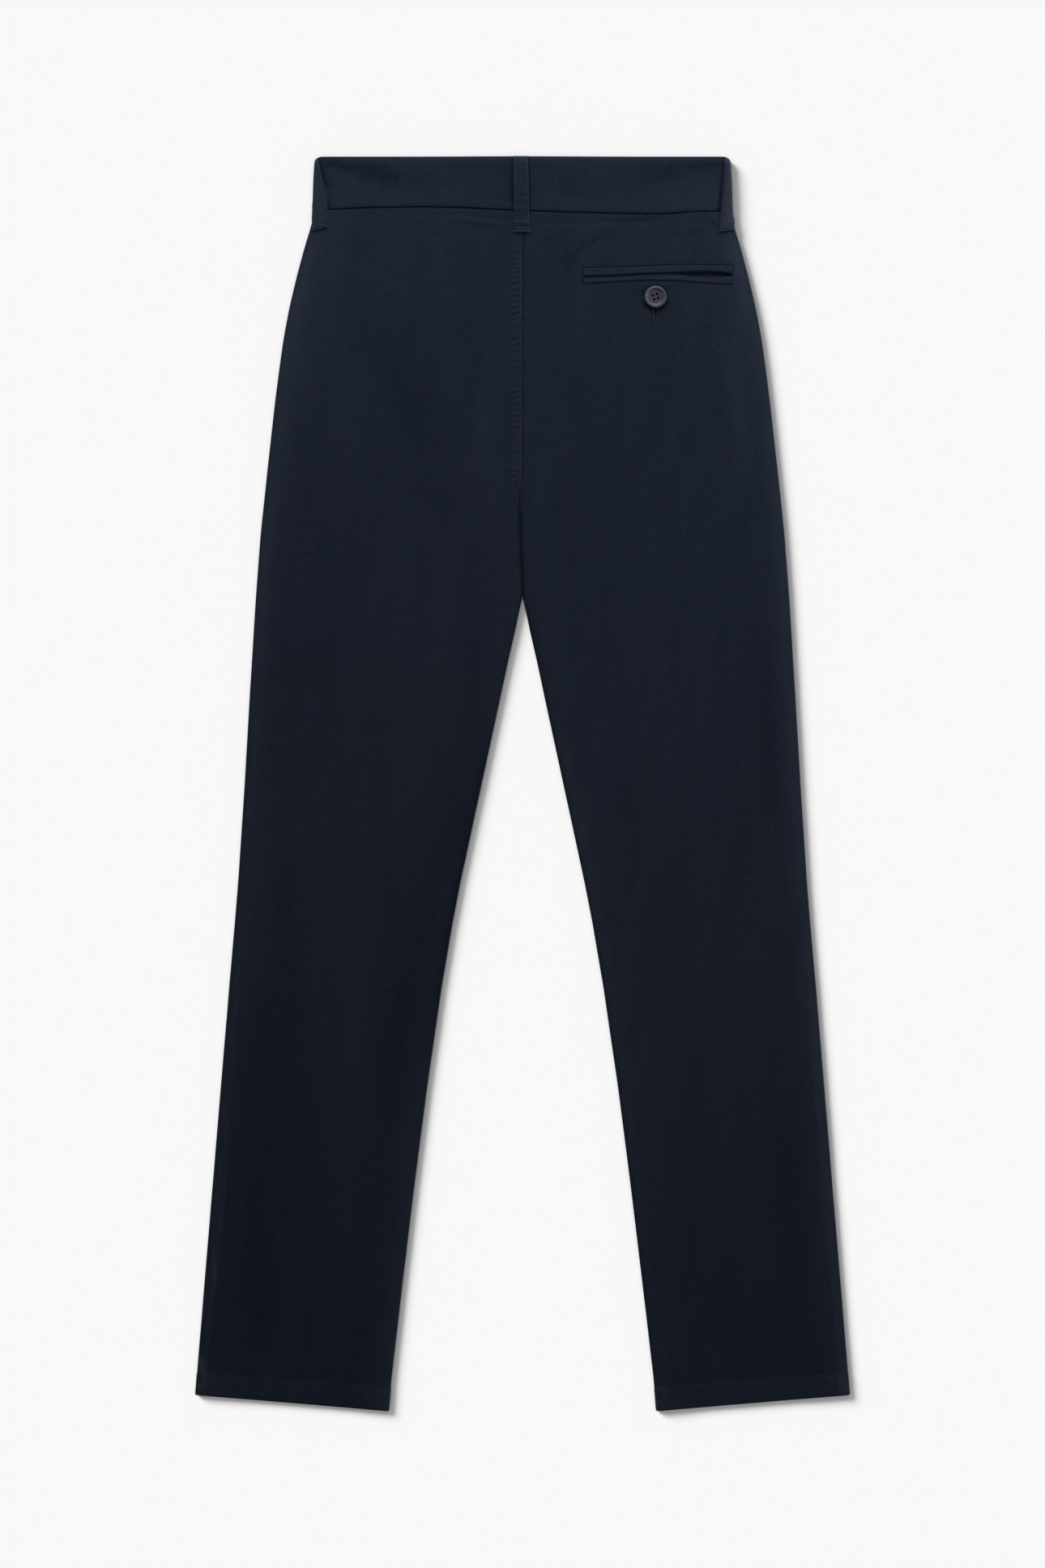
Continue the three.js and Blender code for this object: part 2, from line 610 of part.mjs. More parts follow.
// Button with a raised rim, a dished middle and four holes
function button({ radius, height, turn }, segments) {
  const profile = BUTTON_PROFILE.map(({ r, z }) => new THREE.Vector2(r * radius, z * height));
  const disc = new THREE.LatheGeometry(profile, segments).rotateX(Math.PI / 2);
  const [holeRadius, place] = [HOLES.radius * radius, HOLES.place * radius];
  const holes = HOLES.angles.map((angle) => {
    const at = radians(angle + turn);
    const hole = new THREE.CylinderGeometry(holeRadius, holeRadius, 3 * height, HOLES.sides);
    return hole.rotateX(Math.PI / 2).translate(place * Math.cos(at), place * Math.sin(at), 0);
  });
  return cut(disc, holes);
}

// Point of the garment's outer face at the side, a length along its section from a place on top
function sidePoints(side, down, from, lengths) {
  const section = down < LOOP_PASS ? bandSection(side, down) : backSection(side, down);
  const passes = (point, i) => i + 1 < section.length && point.u <= from && section[i + 1].u > from;
  const before = section.findIndex(passes);
  const rows = section.slice(before).map((point) => ({ ...point, length: 0 }));
  for (let i = 1; i < rows.length; i++)
    rows[i].length = rows[i - 1].length + Math.hypot(rows[i].u - rows[i - 1].u, rows[i].z - rows[i - 1].z);
  const offset = (rows[1].length * (from - rows[0].u)) / (rows[1].u - rows[0].u);
  return lengths.map((length) => pointAlong(rows, offset + length));
}

// Belt loop: pointsAt gives the base points across the loop at a level
function beltLoop(side, pointsAt, end, arch) {
  const stretch = end / LOOP_ROWS[LOOP_ROWS.length - 1].down;
  const grid = (face) =>
    LOOP_ROWS.map((row) => {
      const down = row.down * stretch;
      return placeRow(side, pointsAt(down), () => yAt(down), row[face] + arch * row.arch);
    });
  return sheet(grid("outer"), grid("inner"));
}

function centreLoop() {
  const pointsAt = (down) => {
    const middle = mix(CENTRE_LOOP.top, CENTRE_LOOP.bottom, down / LOOP_END);
    return [-0.5, 0, 0.5].map((share) => {
      const x = middle + share * LOOP_WIDTH;
      const z = down < LOOP_PASS ? bandHeight(x, down) : panelHeight(Math.sign(x), Math.abs(x), down);
      return { u: x, z, nu: 0, nz: 1 };
    });
  };
  return beltLoop(1, pointsAt, LOOP_END, LOOP_ARCH);
}

function frontLoop(side) {
  const shares = [-0.5, 0.5];
  const pointsAt = () =>
    shares.map((share) => ({ u: FRONT_LOOP_X + share * LOOP_WIDTH, z: LOOP_RISE, nu: 0, nz: -1 }));
  return beltLoop(side, pointsAt, FRONT_LOOP_END, 0);
}

function sideLoop(side, edges) {
  const lengths = Array.from({ length: SIDE_LOOP_STEPS + 1 }, (_, i) => (i * LOOP_WIDTH) / SIDE_LOOP_STEPS);
  const pointsAt = (down) => sidePoints(side, down, read(edges, "x", down), lengths);
  return beltLoop(side, pointsAt, LOOP_END, 0);
}

const trousers = new THREE.Group();

function add(name, geometry, material, place = [0, 0, 0], turn = [0, 0, 0]) {
  const mesh = new THREE.Mesh(geometry, material);
  mesh.name = name;
  mesh.position.set(...place);
  mesh.rotation.set(...turn);
  trousers.add(mesh);
}

const sides = [
  { side: -1, label: "left", edges: LEFT_LOOP_EDGE },
  { side: 1, label: "right", edges: RIGHT_LOOP_EDGE },
];
for (const { side, label, edges } of sides) {
  add(`back_panel_${label}`, backPanel(side), TWILL);
  add(`front_panel_${label}`, frontPanel(side), TWILL);
  add(`front_pocket_facing_${label}`, frontFacing(side), TWILL);
  add(`waistband_${label}`, waistbandHalf(side), BAND_TWILL);
  add(`belt_loop_side_${label}`, sideLoop(side, edges), LOOP_TWILL);
  add(`belt_loop_front_${label}`, frontLoop(side), LOOP_TWILL);
}
add("belt_loop_centre_back", centreLoop(), LOOP_TWILL);
add("back_pocket_upper_welt", welt("top", "upperLip"), TWILL);
add("back_pocket_lower_welt", welt("bottom", "lowerLip"), TWILL);
add("back_pocket_facing", pocketFacing(), TWILL);

// The pocket button stands on its thread, which comes out through the buttonhole
const buttonBase = onBack(POCKET_BUTTON.x, POCKET_BUTTON.down, BUTTON_STAND);
add("back_pocket_button", button(POCKET_BUTTON, BUTTON_SIDES.pocket), PLASTIC, buttonBase);
const threadHeight = BUTTON_STAND + POCKET_DEPTH - 2 * SEAM_GAP;
const threadMiddle = (BUTTON_STAND - POCKET_DEPTH) / 2;
const thread = new THREE.CylinderGeometry(THREAD_RADIUS, THREAD_RADIUS, threadHeight, THREAD_SIDES);
const threadPlace = onBack(POCKET_BUTTON.x, POCKET_BUTTON.down, threadMiddle);
add("back_pocket_button_thread", thread.rotateX(Math.PI / 2), THREAD, threadPlace);

const waistButtonPlace = [WAIST_BUTTON.x, yAt(WAIST_BUTTON.down), WAIST_BUTTON.height];
add("waist_button", button(WAIST_BUTTON, BUTTON_SIDES.waist), PLASTIC, waistButtonPlace, [Math.PI, 0, 0]);

export default trousers;
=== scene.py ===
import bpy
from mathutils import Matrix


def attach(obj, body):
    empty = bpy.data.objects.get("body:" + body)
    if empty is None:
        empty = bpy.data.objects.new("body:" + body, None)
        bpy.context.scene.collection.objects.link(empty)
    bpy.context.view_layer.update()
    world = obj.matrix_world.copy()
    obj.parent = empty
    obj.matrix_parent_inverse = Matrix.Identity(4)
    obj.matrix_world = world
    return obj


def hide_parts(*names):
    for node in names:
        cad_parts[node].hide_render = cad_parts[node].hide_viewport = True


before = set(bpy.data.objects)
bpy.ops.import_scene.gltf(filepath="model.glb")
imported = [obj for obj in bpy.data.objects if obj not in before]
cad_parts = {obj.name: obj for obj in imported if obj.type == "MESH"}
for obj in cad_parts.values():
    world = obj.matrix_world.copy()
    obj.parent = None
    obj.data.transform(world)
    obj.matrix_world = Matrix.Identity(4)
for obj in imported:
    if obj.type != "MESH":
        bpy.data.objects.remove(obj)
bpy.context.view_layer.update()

import bpy
import numpy as np
from mathutils import Vector

bl_info = {
    "name": "Flat chino trousers",
    "version": (1, 0, 0),
    "blender": (4, 5, 0),
    "location": "View3D > Sidebar > Trousers",
    "description": "Builds a pair of chino trousers laid flat with the back side up",
    "category": "Mesh",
}

# Sizes of the cut, in millimetres. "down" is the distance below the waist's top edge.
MM = 0.001
LENGTH = 1036.6
HEM_DEPTH = 20.0
HEM_RISE = 13.4
HEM_RISE_START = 767.8
SEAM_GAP = 0.3
BAND_WALL = 1.4
SIDE_TURN = 15.0
INSIDE_TURN = 12.0
SIDE_SHOULDER = 10.0
INSIDE_SHOULDER = 8.0
NOSE_SHARE = 0.45
NOSE_RISE = 55.0
CROTCH_START = 271.0
CROTCH_END = 290.5
SEAM_UNDERLAP = 1.4
LEG_PRESS = 0.5
LOOP_WIDTH = 12.4
SEAT_STITCH_X = -2.9
SEAT_STITCH_DOWNS = (64, 262)
LOOP_RISE = 1.5
LOOP_RISE_FROM = 92.0
LOOP_RISE_TO = 62.0
LOOP_END = 61.5
LOOP_ARCH = 1.0
CENTRE_BUMP = 1.9
CENTRE_BUMP_WIDTH = 60.0
CENTRE_BUMP_LENGTH = 60.0
FRONT_SEAM_DOWN = 44.6
FLY_LAP = 3.0
FLY_UNDERLAP = 10.0
FLY_END = 215.0
FLY_FADE = 15.0
BAND_UNDERLAP = 30.0
BAND_LOFT = 6.2
BAND_ROLL = 0.5
BAND_ROLL_WIDTH = 4.0
SIDE_LOFT_WIDTH = 30.0
INSIDE_LOFT_WIDTH = 22.0
FRONT_LOOP_X = 98.0
BUTTON_RISE = 1.15
BUTTON_RISE_WIDTH = 26.0
POCKET_BUTTON = {"x": 109.9, "down": 116.2, "radius": 9.05, "height": 3.0, "turn": 18.0}
WAIST_BUTTON = {"x": -9.0, "down": 23.0, "radius": 8.6, "height": 2.2, "turn": 45.0}
BUTTONHOLE_END = 139.5
SLANT = {"waist": 118.0, "side": 168.0, "down": 186.0}
CORNER = {"width": 5.5, "fall": 3.4}
BAND_COLUMNS = 130


def rows_of(columns, *rows):
    """A table as a dictionary of one array for each named column."""
    return dict(zip(columns.split(), np.array(rows, float).T))


OUTLINE = rows_of(
    "down side gap",
    (0, 170.5, 0), (20, 171.5, 0), (47, 172.6, 0), (57, 174.6, 0), (71, 179.2, 0), (97.8, 186.5, 0),
    (124.6, 192.9, 0), (151.4, 197.9, 0), (178.2, 201.6, 0), (205, 205, 0), (258.6, 211, 0),
    (312.2, 216.7, 0), (362.5, 220.5, 0), (392.6, 222.4, 6.3), (419.4, 224, 12.4), (446.2, 225.7, 18.1),
    (526.6, 230.4, 35.5), (600, 235.3, 51.3), (633.8, 238.1, 57.9), (687.4, 242.8, 67),
    (767.8, 249.5, 78.7), (848.2, 256.2, 89.1), (928.6, 262.9, 98.8), (1009, 269.6, 108.2),
    (1036.6, 271.8, 110.5),
)
CENTRE_LINE = rows_of("down x", (0, 0.3), (257, 0.3), (277, -2.8), (362.5, 0))
WAIST_SEAM = rows_of(
    "x down", (-160.8, 43.9), (-130.7, 42.2), (-85.1, 41.5), (-57, 41.9), (-7.4, 44.5), (36.9, 45.9),
    (77, 46.9), (114, 47.2), (132, 46.4), (140, 45.2), (165, 45.2),
)
LOFT = rows_of(
    "down side middle inside", (45, 5.9, 5.6, 5.7), (125, 6.2, 5.7, 5.5), (205, 6.0, 4.8, 5.0),
    (290, 5.8, 4.2, 5.2), (420, 5.5, 3.4, 5.2), (700, 5.1, 2.8, 4.9), (980, 5.0, 3.2, 4.9),
    (1015, 5.2, 4.2, 5.1), (1036, 5.2, 4.2, 5.1),
)
POCKET = rows_of(
    "x top upper_lip lower_lip bottom", (49.9, 92.1, 99.4, 99.8, 105.5), (76.4, 91.4, 98.5, 98.9, 103.9),
    (100, 90.6, 97.0, 97.4, 102.6), (125.3, 89.3, 96.4, 97.0, 102.9), (138, 89.4, 95.6, 98.5, 103.9),
    (150.8, 89.5, 95.2, 99.4, 104.9), (163, 89.7, 95.6, 99.3, 105.7), (173.5, 89.8, 97.6, 98.2, 106.4),
)
LEFT_LOOP_EDGE = rows_of("down x", (0, 169), (20, 165.3), (31.5, 163.3), (45.6, 161.5), (62, 161.3))
RIGHT_LOOP_EDGE = rows_of("down x", (0, 166.8), (16, 166.6), (38.6, 164.6), (46.9, 163.5), (62, 161.9))

# Large soft folds, as in the solids, and small creases: a rounded ridge or trough along each line
FOLD_COLUMNS = "x0 down0 x1 down1 width height"
FOLDS = rows_of(
    FOLD_COLUMNS, (-113, 156, -77, 249, 20, -1.0), (165, 158, 182, 268, 9, 0.7),
    (146, 150, 161, 262, 11, -0.6), (-190, 404, -160, 426, 10, 0.5), (38, 97, 64, 68, 8, -0.5),
)
CREASES = rows_of(
    FOLD_COLUMNS,
    (-117, 158, -78, 256, 12, -0.4), (-96, 158, -62, 244, 16, 0.2),
    (36, 100, 40, 86, 2.8, -0.7), (40, 86, 57, 71, 3.0, -0.7), (57, 71, 84, 58, 3.0, -0.5),
        (84, 58, 112, 52, 3.0, -0.4),
    (8, 56, 60, 55, 2.0, -0.35), (60, 55, 118, 52, 2.0, -0.35), (-92, 48, -50, 49, 2.0, -0.25),
        (-50, 49, -10, 53, 2.0, -0.3),
    (-191, 460, -145, 466, 2.4, -0.2), (-145, 466, -97, 473, 2.4, -0.2),
    (60, 150, 84, 262, 20, 0.45), (118, 160, 128, 250, 16, -0.4), (20, 120, 34, 180, 12, 0.25),
    (-60, 84, -30, 120, 12, -0.28), (-150, 74, -120, 92, 9, -0.3), (100, 70, 150, 66, 6, -0.2),
    (37, 97, 44, 83, 2.6, -0.30), (44, 83, 63, 69, 3.0, -0.26), (40, 99, 49, 84, 2.4, 0.22),
    (154.5, 47.5, 162.5, 58, 1.8, 0.4), (152, 49, 159, 59, 1.8, -0.35),
    (-54, 51, -33, 55, 2.6, 0.30), (-33, 55, -11, 58, 2.6, 0.26), (-52, 55, -14, 62, 3.2, -0.22),
    (165, 165, 172, 215, 4.5, 0.35), (172, 215, 186, 262, 4.5, 0.30), (157, 170, 166, 255, 4.0, -0.25),
    (-186, 405, -164, 400, 2.6, 0.30), (-184, 420, -160, 424, 3.0, -0.28), (-160, 455, -138, 463, 3.2, 0.24),
    (9, 60, 26, 52, 2.4, -0.24), (12, 70, 30, 62, 2.8, 0.20), (100, 56, 116, 60, 2.4, -0.22),
    (128, 62, 150, 58, 2.6, 0.22), (150, 70, 160, 58, 2.4, -0.24),
    (6, 250, 26, 236, 4.0, -0.30), (-8, 252, -30, 240, 4.0, -0.30), (8, 272, 40, 262, 4.5, 0.28),
    (-10, 274, -38, 266, 4.5, 0.26), (10, 300, 38, 296, 5.0, -0.30), (-12, 304, -40, 300, 5.0, -0.26),
)


def bell(distance, width):
    """Bell curve: 1 at no distance, falling off with its square over the width."""
    return np.exp(-((np.asarray(distance) / width) ** 2))


def smooth(at, start, end):
    """0 before start, 1 after end, and a smooth step between them."""
    share = np.clip((np.asarray(at, float) - start) / (end - start), 0, 1)
    return share * share * (3 - 2 * share)


def mix(a, b, share):
    """Straight blend from a to b."""
    return a + (b - a) * share


def y_at(down):
    """Place along the garment, from the distance below the waist edge."""
    return LENGTH / 2 - down


def read(table, column, at, key="down", soft=0.0):
    """A column's value at a place: straight lines between the rows, averaged over soft to either side."""
    steps = (-1.0, -0.5, 0.0, 0.5, 1.0) if soft else (0.0,)
    return sum(np.interp(np.asarray(at) + soft * step, table[key], table[column])
        for step in steps) / len(steps)


def lines_relief(table, x, down):
    """Sum over the lines of a table of height times a bell of the distance to the line, tapered at its ends so
    that joined lines add up to one."""
    total = np.zeros(np.broadcast(x, down).shape)
    for x0, down0, x1, down1, width, height in zip(*(table[name] for name in FOLD_COLUMNS.split())):
        ax, ay = x1 - x0, down1 - down0
        place = ((x - x0) * ax + (down - down0) * ay) / (ax * ax + ay * ay)
        along = np.clip(place, 0, 1)
        taper = smooth(place, -0.3, 0.3) * (1 - smooth(place, 0.7, 1.3))
        total = total + taper * height * bell(np.hypot(x - x0 - along * ax, down - down0 - along * ay), width)
    return total


def waves(x, down, seed, shortest, longest, count=9):
    """Sum of plane waves of unlike lengths and directions, about 1 high in all, the same on every run."""
    chance = np.random.default_rng(seed)
    total = np.zeros(np.broadcast(x, down).shape)
    for length in np.geomspace(shortest, longest, count):
        angle, phase = chance.uniform(0, np.pi), chance.uniform(0, 2 * np.pi)
        total = total + np.sin(2 * np.pi * (x * np.cos(angle) + down * np.sin(angle)) / length + phase)
    return total / np.sqrt(count)


def hem_share(down):
    """0 above the lower leg, 1 at the hem."""
    return np.maximum(0, (down - HEM_RISE_START) / (LENGTH - HEM_RISE_START))


def side_at(down):
    """Half-width of the garment at the side fold of a row."""
    return read(OUTLINE, "side", down - HEM_RISE * hem_share(down), soft=7)


def inside_at(side, down):
    """Inner edge of a leg's row: half the gap between the legs, moved with the centre line."""
    return read(OUTLINE, "gap", down) + SEAM_GAP / 2 + side * read(CENTRE_LINE, "x", down, soft=4)


def band_rise(x):
    """Height of the waistband's under face over the surface, lifted by the loops and the waist button."""
    return LOOP_RISE + BUTTON_RISE * bell(x - WAIST_BUTTON["x"], BUTTON_RISE_WIDTH)


def front_rise(x, down):
    """Height of the fronts' under face: level, and rising to the waistband near the waist."""
    return band_rise(x) * smooth(-np.asarray(down, float), -LOOP_RISE_FROM, -LOOP_RISE_TO)


def centre_bump(x, down):
    """How much the fly's layers lift the back at its centre."""
    return CENTRE_BUMP * bell(x, CENTRE_BUMP_WIDTH) * bell(np.maximum(0, down - FRONT_SEAM_DOWN),
        CENTRE_BUMP_LENGTH)


def panel_height(side, u, down):
    """Height of a back panel: low in the middle, fuller beside its folds, with the large soft folds."""
    middle = read(LOFT, "middle", down)
    from_side = np.maximum(0, side_at(down) - SIDE_SHOULDER - u)
    from_inside = np.maximum(0, u - inside_at(side, down) - INSIDE_SHOULDER)
    height = middle + (read(LOFT, "side", down) - middle) * bell(from_side, SIDE_LOFT_WIDTH)
    height = height + (read(LOFT, "inside", down) - middle) * bell(from_inside, INSIDE_LOFT_WIDTH)
    return height + lines_relief(FOLDS, side * u, down) + centre_bump(side * u, down)


def band_height(u, down):
    """Height of the waistband's upper face."""
    return BAND_LOFT + centre_bump(u, down) - BAND_ROLL * bell(down, BAND_ROLL_WIDTH)


def fold_section(edge, way, height, rise, shoulder, turn, along):
    """Section of a fold. along 0 to 1 is the shoulder, a quadratic curve that leaves the top level and meets
    the nose on its tangent; 1 to 2 is the nose, an arc; 2 to 3 is the straight strip turned under."""
    radius = NOSE_SHARE * (height - rise)
    start = np.radians(NOSE_RISE)
    angle = start - np.clip(along - 1, 0, 1) * (start + np.pi / 2)
    nose_u = edge - way * radius * (1 - np.cos(angle))
    nose_z = rise + radius * (1 + np.sin(angle))
    first_u = edge - way * radius * (1 - np.cos(start))
    first_z = rise + radius * (1 + np.sin(start))
    corner_u = first_u - way * (height - first_z) * np.tan(start)
    t = np.clip(along, 0, 1)
    shoulder_u = (1 - t) ** 2 * (edge - way * shoulder) + 2 * t * (1 - t) * corner_u + t**2 * first_u
    shoulder_z = (1 - t**2) * height + t**2 * first_z
    strip_u = edge - way * mix(radius, turn, np.clip(along - 2, 0, 1))
    u = np.where(along < 1, shoulder_u, np.where(along < 2, nose_u, strip_u))
    z = np.where(along < 1, shoulder_z, np.where(along < 2, nose_z, rise + 0 * along))
    return u, z


SIDE_ALONG = np.concatenate([np.linspace(0, 1, 10), np.linspace(1, 2, 10)[1:], np.linspace(2, 3, 4)[1:]])
INSIDE_ALONG = SIDE_ALONG[::-1]


def top_shares(extra):
    """Columns across the top: close together beside the seat seam, and where extra asks for it."""
    near = np.linspace(0, 0.055, 22)
    return np.unique(np.concatenate([near, np.linspace(0.055, 1, 42), extra]))[1:-1]


def back_section(side, down, extra=()):
    """Rows of a back panel's section, from the seat seam or inseam over the top to the side seam."""
    down = np.asarray(down, float)[:, None]
    turned = np.clip((down - CROTCH_START) / (CROTCH_END - CROTCH_START), 0.03, 1)
    lapped = SEAM_UNDERLAP * (1 - smooth(down, CROTCH_START - 12, CROTCH_START + 4)) * (side > 0)
    lapped = lapped + LEG_PRESS * smooth(down, CROTCH_START - 8, CROTCH_START + 2) * (1
        - smooth(down, 352, 372))
    inside, edge = inside_at(side, down) - SEAM_GAP / 2 - lapped, side_at(down)
    size = np.clip(1.5 * turned, 0.06, 1)
    inside_top = inside + INSIDE_SHOULDER * size
    side_top = edge - SIDE_SHOULDER
    height = panel_height(side, inside_top, down)
    inside_part = fold_section(
        inside, -1, height, height * (1 - size), INSIDE_SHOULDER * size, INSIDE_TURN * size,
            INSIDE_ALONG * turned
    )
    top_u = mix(inside_top, side_top, top_shares(extra)[None, :])
    top_part = (top_u, panel_height(side, top_u, down))
    side_part = fold_section(
        edge, 1, panel_height(side, side_top, down), front_rise(side * edge, down),
        SIDE_SHOULDER, SIDE_TURN, SIDE_ALONG[None, :]
    )
    return tuple(np.hstack(parts) for parts in zip(inside_part, top_part, side_part))


def seam_down(side, u, over):
    """The waist seam: curved across the back where over is 1, and level on the front where it is 0."""
    return mix(FRONT_SEAM_DOWN, read(WAIST_SEAM, "down", side * u, "x", soft=6), over)


def normals_of(grid):
    """Unit normals of a grid of points, from the cross product of its two directions."""
    along, across = np.gradient(grid, axis=0), np.gradient(grid, axis=1)
    normal = np.cross(along, across)
    return normal / np.maximum(np.linalg.norm(normal, axis=2, keepdims=True), 1e-12)


def arc_lengths(grid):
    """Length along each row of a grid, counted from the row's middle column."""
    steps = np.linalg.norm(np.diff(grid, axis=1), axis=2)
    lengths = np.hstack([np.zeros((len(grid), 1)), np.cumsum(steps, axis=1)])
    return lengths - lengths[:, [grid.shape[1] // 2]]


def at_lengths(lengths, values, at):
    """Each row's values read at other lengths along that row."""
    return np.stack([np.interp(a, length, value) for a, length, value in zip(at, lengths, values)])


class Cloth:
    """A grid of points of a cloth's outer face, with the levels of its rows and its wear and painted light."""

    def __init__(self, side, u, z, y, down, way=1.0):
        self.side, self.u, self.down = side, u, down
        self.points = np.stack([side * u, y, z], axis=2)
        self.outward = side * way
        self.normals = self.outward * normals_of(self.points)
        self.wear_and_painted_light = np.zeros(u.shape)

    def raise_by(self, relief):
        """Moves the points out along the normals."""
        self.points = self.points + relief[:, :, None] * self.normals
        self.normals = self.outward * normals_of(self.points)

    def at(self, x, down):
        """Points and normals of the face that looks up, at places across and down, by straight blending."""
        x, down = np.atleast_1d(x).astype(float), np.atleast_1d(down).astype(float)
        middle = self.down[:, self.down.shape[1] // 2]
        row = np.interp(down, middle, np.arange(len(middle)))
        low = np.clip(row.astype(int), 0, len(middle) - 2)
        found = []
        for r, share, place in zip(low, row - low, x):
            pair = []
            for i in (r, r + 1):
                across = self.side * self.points[i, :, 0]
                last = int(np.argmax(across)) + 1
                first = int(np.argmin(across[:last]))
                column = np.interp(self.side * place, across[first:last], np.arange(first, last))
                j = min(int(column), self.points.shape[1] - 2)
                both = [mix(a[i, j], a[i, j + 1], column - j) for a in (self.points, self.normals)]
                pair.append(np.concatenate(both))
            found.append(mix(pair[0], pair[1], share))
        found = np.array(found)
        return found[:, :3], found[:, 3:] / np.linalg.norm(found[:, 3:], axis=1, keepdims=True)


CLOTHS = {}


def new_mesh(name, points, faces, uv=None, attributes=()):
    """Mesh object from arrays of points in millimetres and of four-cornered faces."""
    mesh = bpy.data.meshes.new(name)
    mesh.vertices.add(len(points))
    mesh.vertices.foreach_set("co", (points * MM).astype(np.float32).ravel())
    mesh.loops.add(faces.size)
    mesh.loops.foreach_set("vertex_index", faces.astype(np.int32).ravel())
    mesh.polygons.add(len(faces))
    mesh.polygons.foreach_set("loop_start", np.arange(0, faces.size, faces.shape[1], dtype=np.int32))
    mesh.polygons.foreach_set("use_smooth", np.ones(len(faces), dtype=bool))
    if uv is not None:
        layer = mesh.uv_layers.new(name="cloth")
        layer.data.foreach_set("uv", (uv * MM)[faces.ravel()].astype(np.float32).ravel())
    for label, values in attributes:
        mesh.attributes.new(label, "FLOAT", "POINT").data.foreach_set("value",
            values.astype(np.float32).ravel())
    mesh.update()
    mesh.validate()
    piece = bpy.data.objects.new(name, mesh)
    bpy.context.scene.collection.objects.link(piece)
    return piece


def grid_faces(rows, columns, flip=False):
    """Four-cornered faces between neighbouring rows and columns of a grid."""
    index = np.arange(rows * columns).reshape(rows, columns)
    corners = [index[:-1, :-1], index[1:, :-1], index[1:, 1:], index[:-1, 1:]]
    return np.stack(corners[::-1] if flip else corners, axis=2).reshape(-1, 4)


def cloth_piece(name, cloth, thickness, material, node, keep=None, grain=0.0):
    """Shell of a cloth: its outer face, given its thickness inwards, with a UV map of its flat size."""
    rows, columns = cloth.u.shape
    faces = grid_faces(rows, columns, cloth.outward < 0)
    if keep is not None:
        faces = faces[keep.ravel()[faces].all(axis=1)]
    uv = np.stack([arc_lengths(cloth.points) + grain, -cloth.down], axis=2).reshape(-1, 2)
    piece = new_mesh(name, cloth.points.reshape(-1, 3), faces, uv, [("wear_and_painted_light", cloth.wear_and_painted_light)])
    shell = piece.modifiers.new("thickness", "SOLIDIFY")
    shell.thickness = thickness * MM
    shell.offset = -1
    shell.use_even_offset = False
    piece.data.materials.append(material)
    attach(piece, "root")
    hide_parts(node)
    CLOTHS[name] = cloth
    return piece


# Stitches

def stitch_mesh(name, starts, ends, normals, width, height, material):
    """One mesh of many stitches: each is a rounded bar with six-sided sections, fuller in the middle."""
    sections, sides = 5, 6
    t = np.linspace(0, 1, sections)
    swell = np.sqrt(np.clip(1 - (2 * t - 1) ** 4, 0.06, 1))
    angle = np.arange(sides) * 2 * np.pi / sides
    along = ends - starts
    across = np.cross(normals, along)
    across = across / np.maximum(np.linalg.norm(across, axis=1, keepdims=True), 1e-9)
    centre = starts[:, None, :] + along[:, None, :] * t[None, :, None]
    centre = centre + normals[:, None, :] * (height * (swell - 0.55))[None, :, None]
    ring = (
        across[:, None, None, :] * (np.cos(angle) * width / 2)[None, None, :, None]
        + normals[:, None, None, :] * (np.sin(angle) * height / 2)[None, None, :, None]
    )
    points = centre[:, :, None, :] + ring * swell[None, :, None, None]
    i, j = np.meshgrid(np.arange(sections - 1), np.arange(sides), indexing="ij")
    one = np.stack([i * sides + j, i * sides + (j + 1) % sides, (i + 1) * sides + (j + 1) % sides,
                    (i + 1) * sides + j], axis=2).reshape(-1, 4)
    last = (sections - 1) * sides
    caps = np.array([[3, 2, 1, 0], [5, 4, 3, 0], [last, last + 1, last + 2, last + 3],
                     [last, last + 3, last + 4, last + 5]])
    one = np.concatenate([one, caps])
    count = len(starts)
    faces = (one[None] + (np.arange(count) * sections * sides)[:, None, None]).reshape(-1, 4)
    piece = new_mesh(name, points.reshape(-1, 3), faces)
    piece.data.materials.append(material)
    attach(piece, "root")
    return piece


def along_path(points, normals, pitch, length, lift=0.0):
    """Starts, ends and normals of stitches laid end to end along a path of points."""
    steps = np.linalg.norm(np.diff(points, axis=0), axis=1)
    lengths = np.concatenate([[0], np.cumsum(steps)])
    count = max(1, int(lengths[-1] / pitch))
    first = (np.arange(count) + 0.5) * lengths[-1] / count - length / 2

    def at(values, place):
        return np.stack([np.interp(place, lengths, values[:, k]) for k in range(3)], axis=1)

    middle = at(normals, first + length / 2)
    middle = middle / np.linalg.norm(middle, axis=1, keepdims=True)
    return at(points, first) + lift * middle, at(points, first + length) + lift * middle, middle


def gathered(parts):
    """Joins lists of stitches into one set of arrays."""
    return [np.concatenate(column) for column in zip(*parts)]


# Materials

def group_input(group, name, kind, value=None):
    socket = group.interface.new_socket(name=name, in_out="INPUT", socket_type=kind)
    if value is not None:
        socket.default_value = value


def maths(nodes, links, operation, *inputs):
    """A math node whose inputs are numbers or sockets; returns its output."""
    node = nodes.new("ShaderNodeMath")
    node.operation = operation
    for socket, value in zip(node.inputs, inputs):
        if hasattr(value, "is_linked"):
            links.new(value, socket)
        else:
            socket.default_value = value
    return node.outputs[0]


def vector_maths(nodes, links, operation, vector, other):
    node = nodes.new("ShaderNodeVectorMath")
    node.operation = operation
    links.new(vector, node.inputs[0])
    if operation == "SCALE":
        node.inputs["Scale"].default_value = other
    else:
        node.inputs[1].default_value = other
    return node.outputs["Value" if operation == "DOT_PRODUCT" else "Vector"]


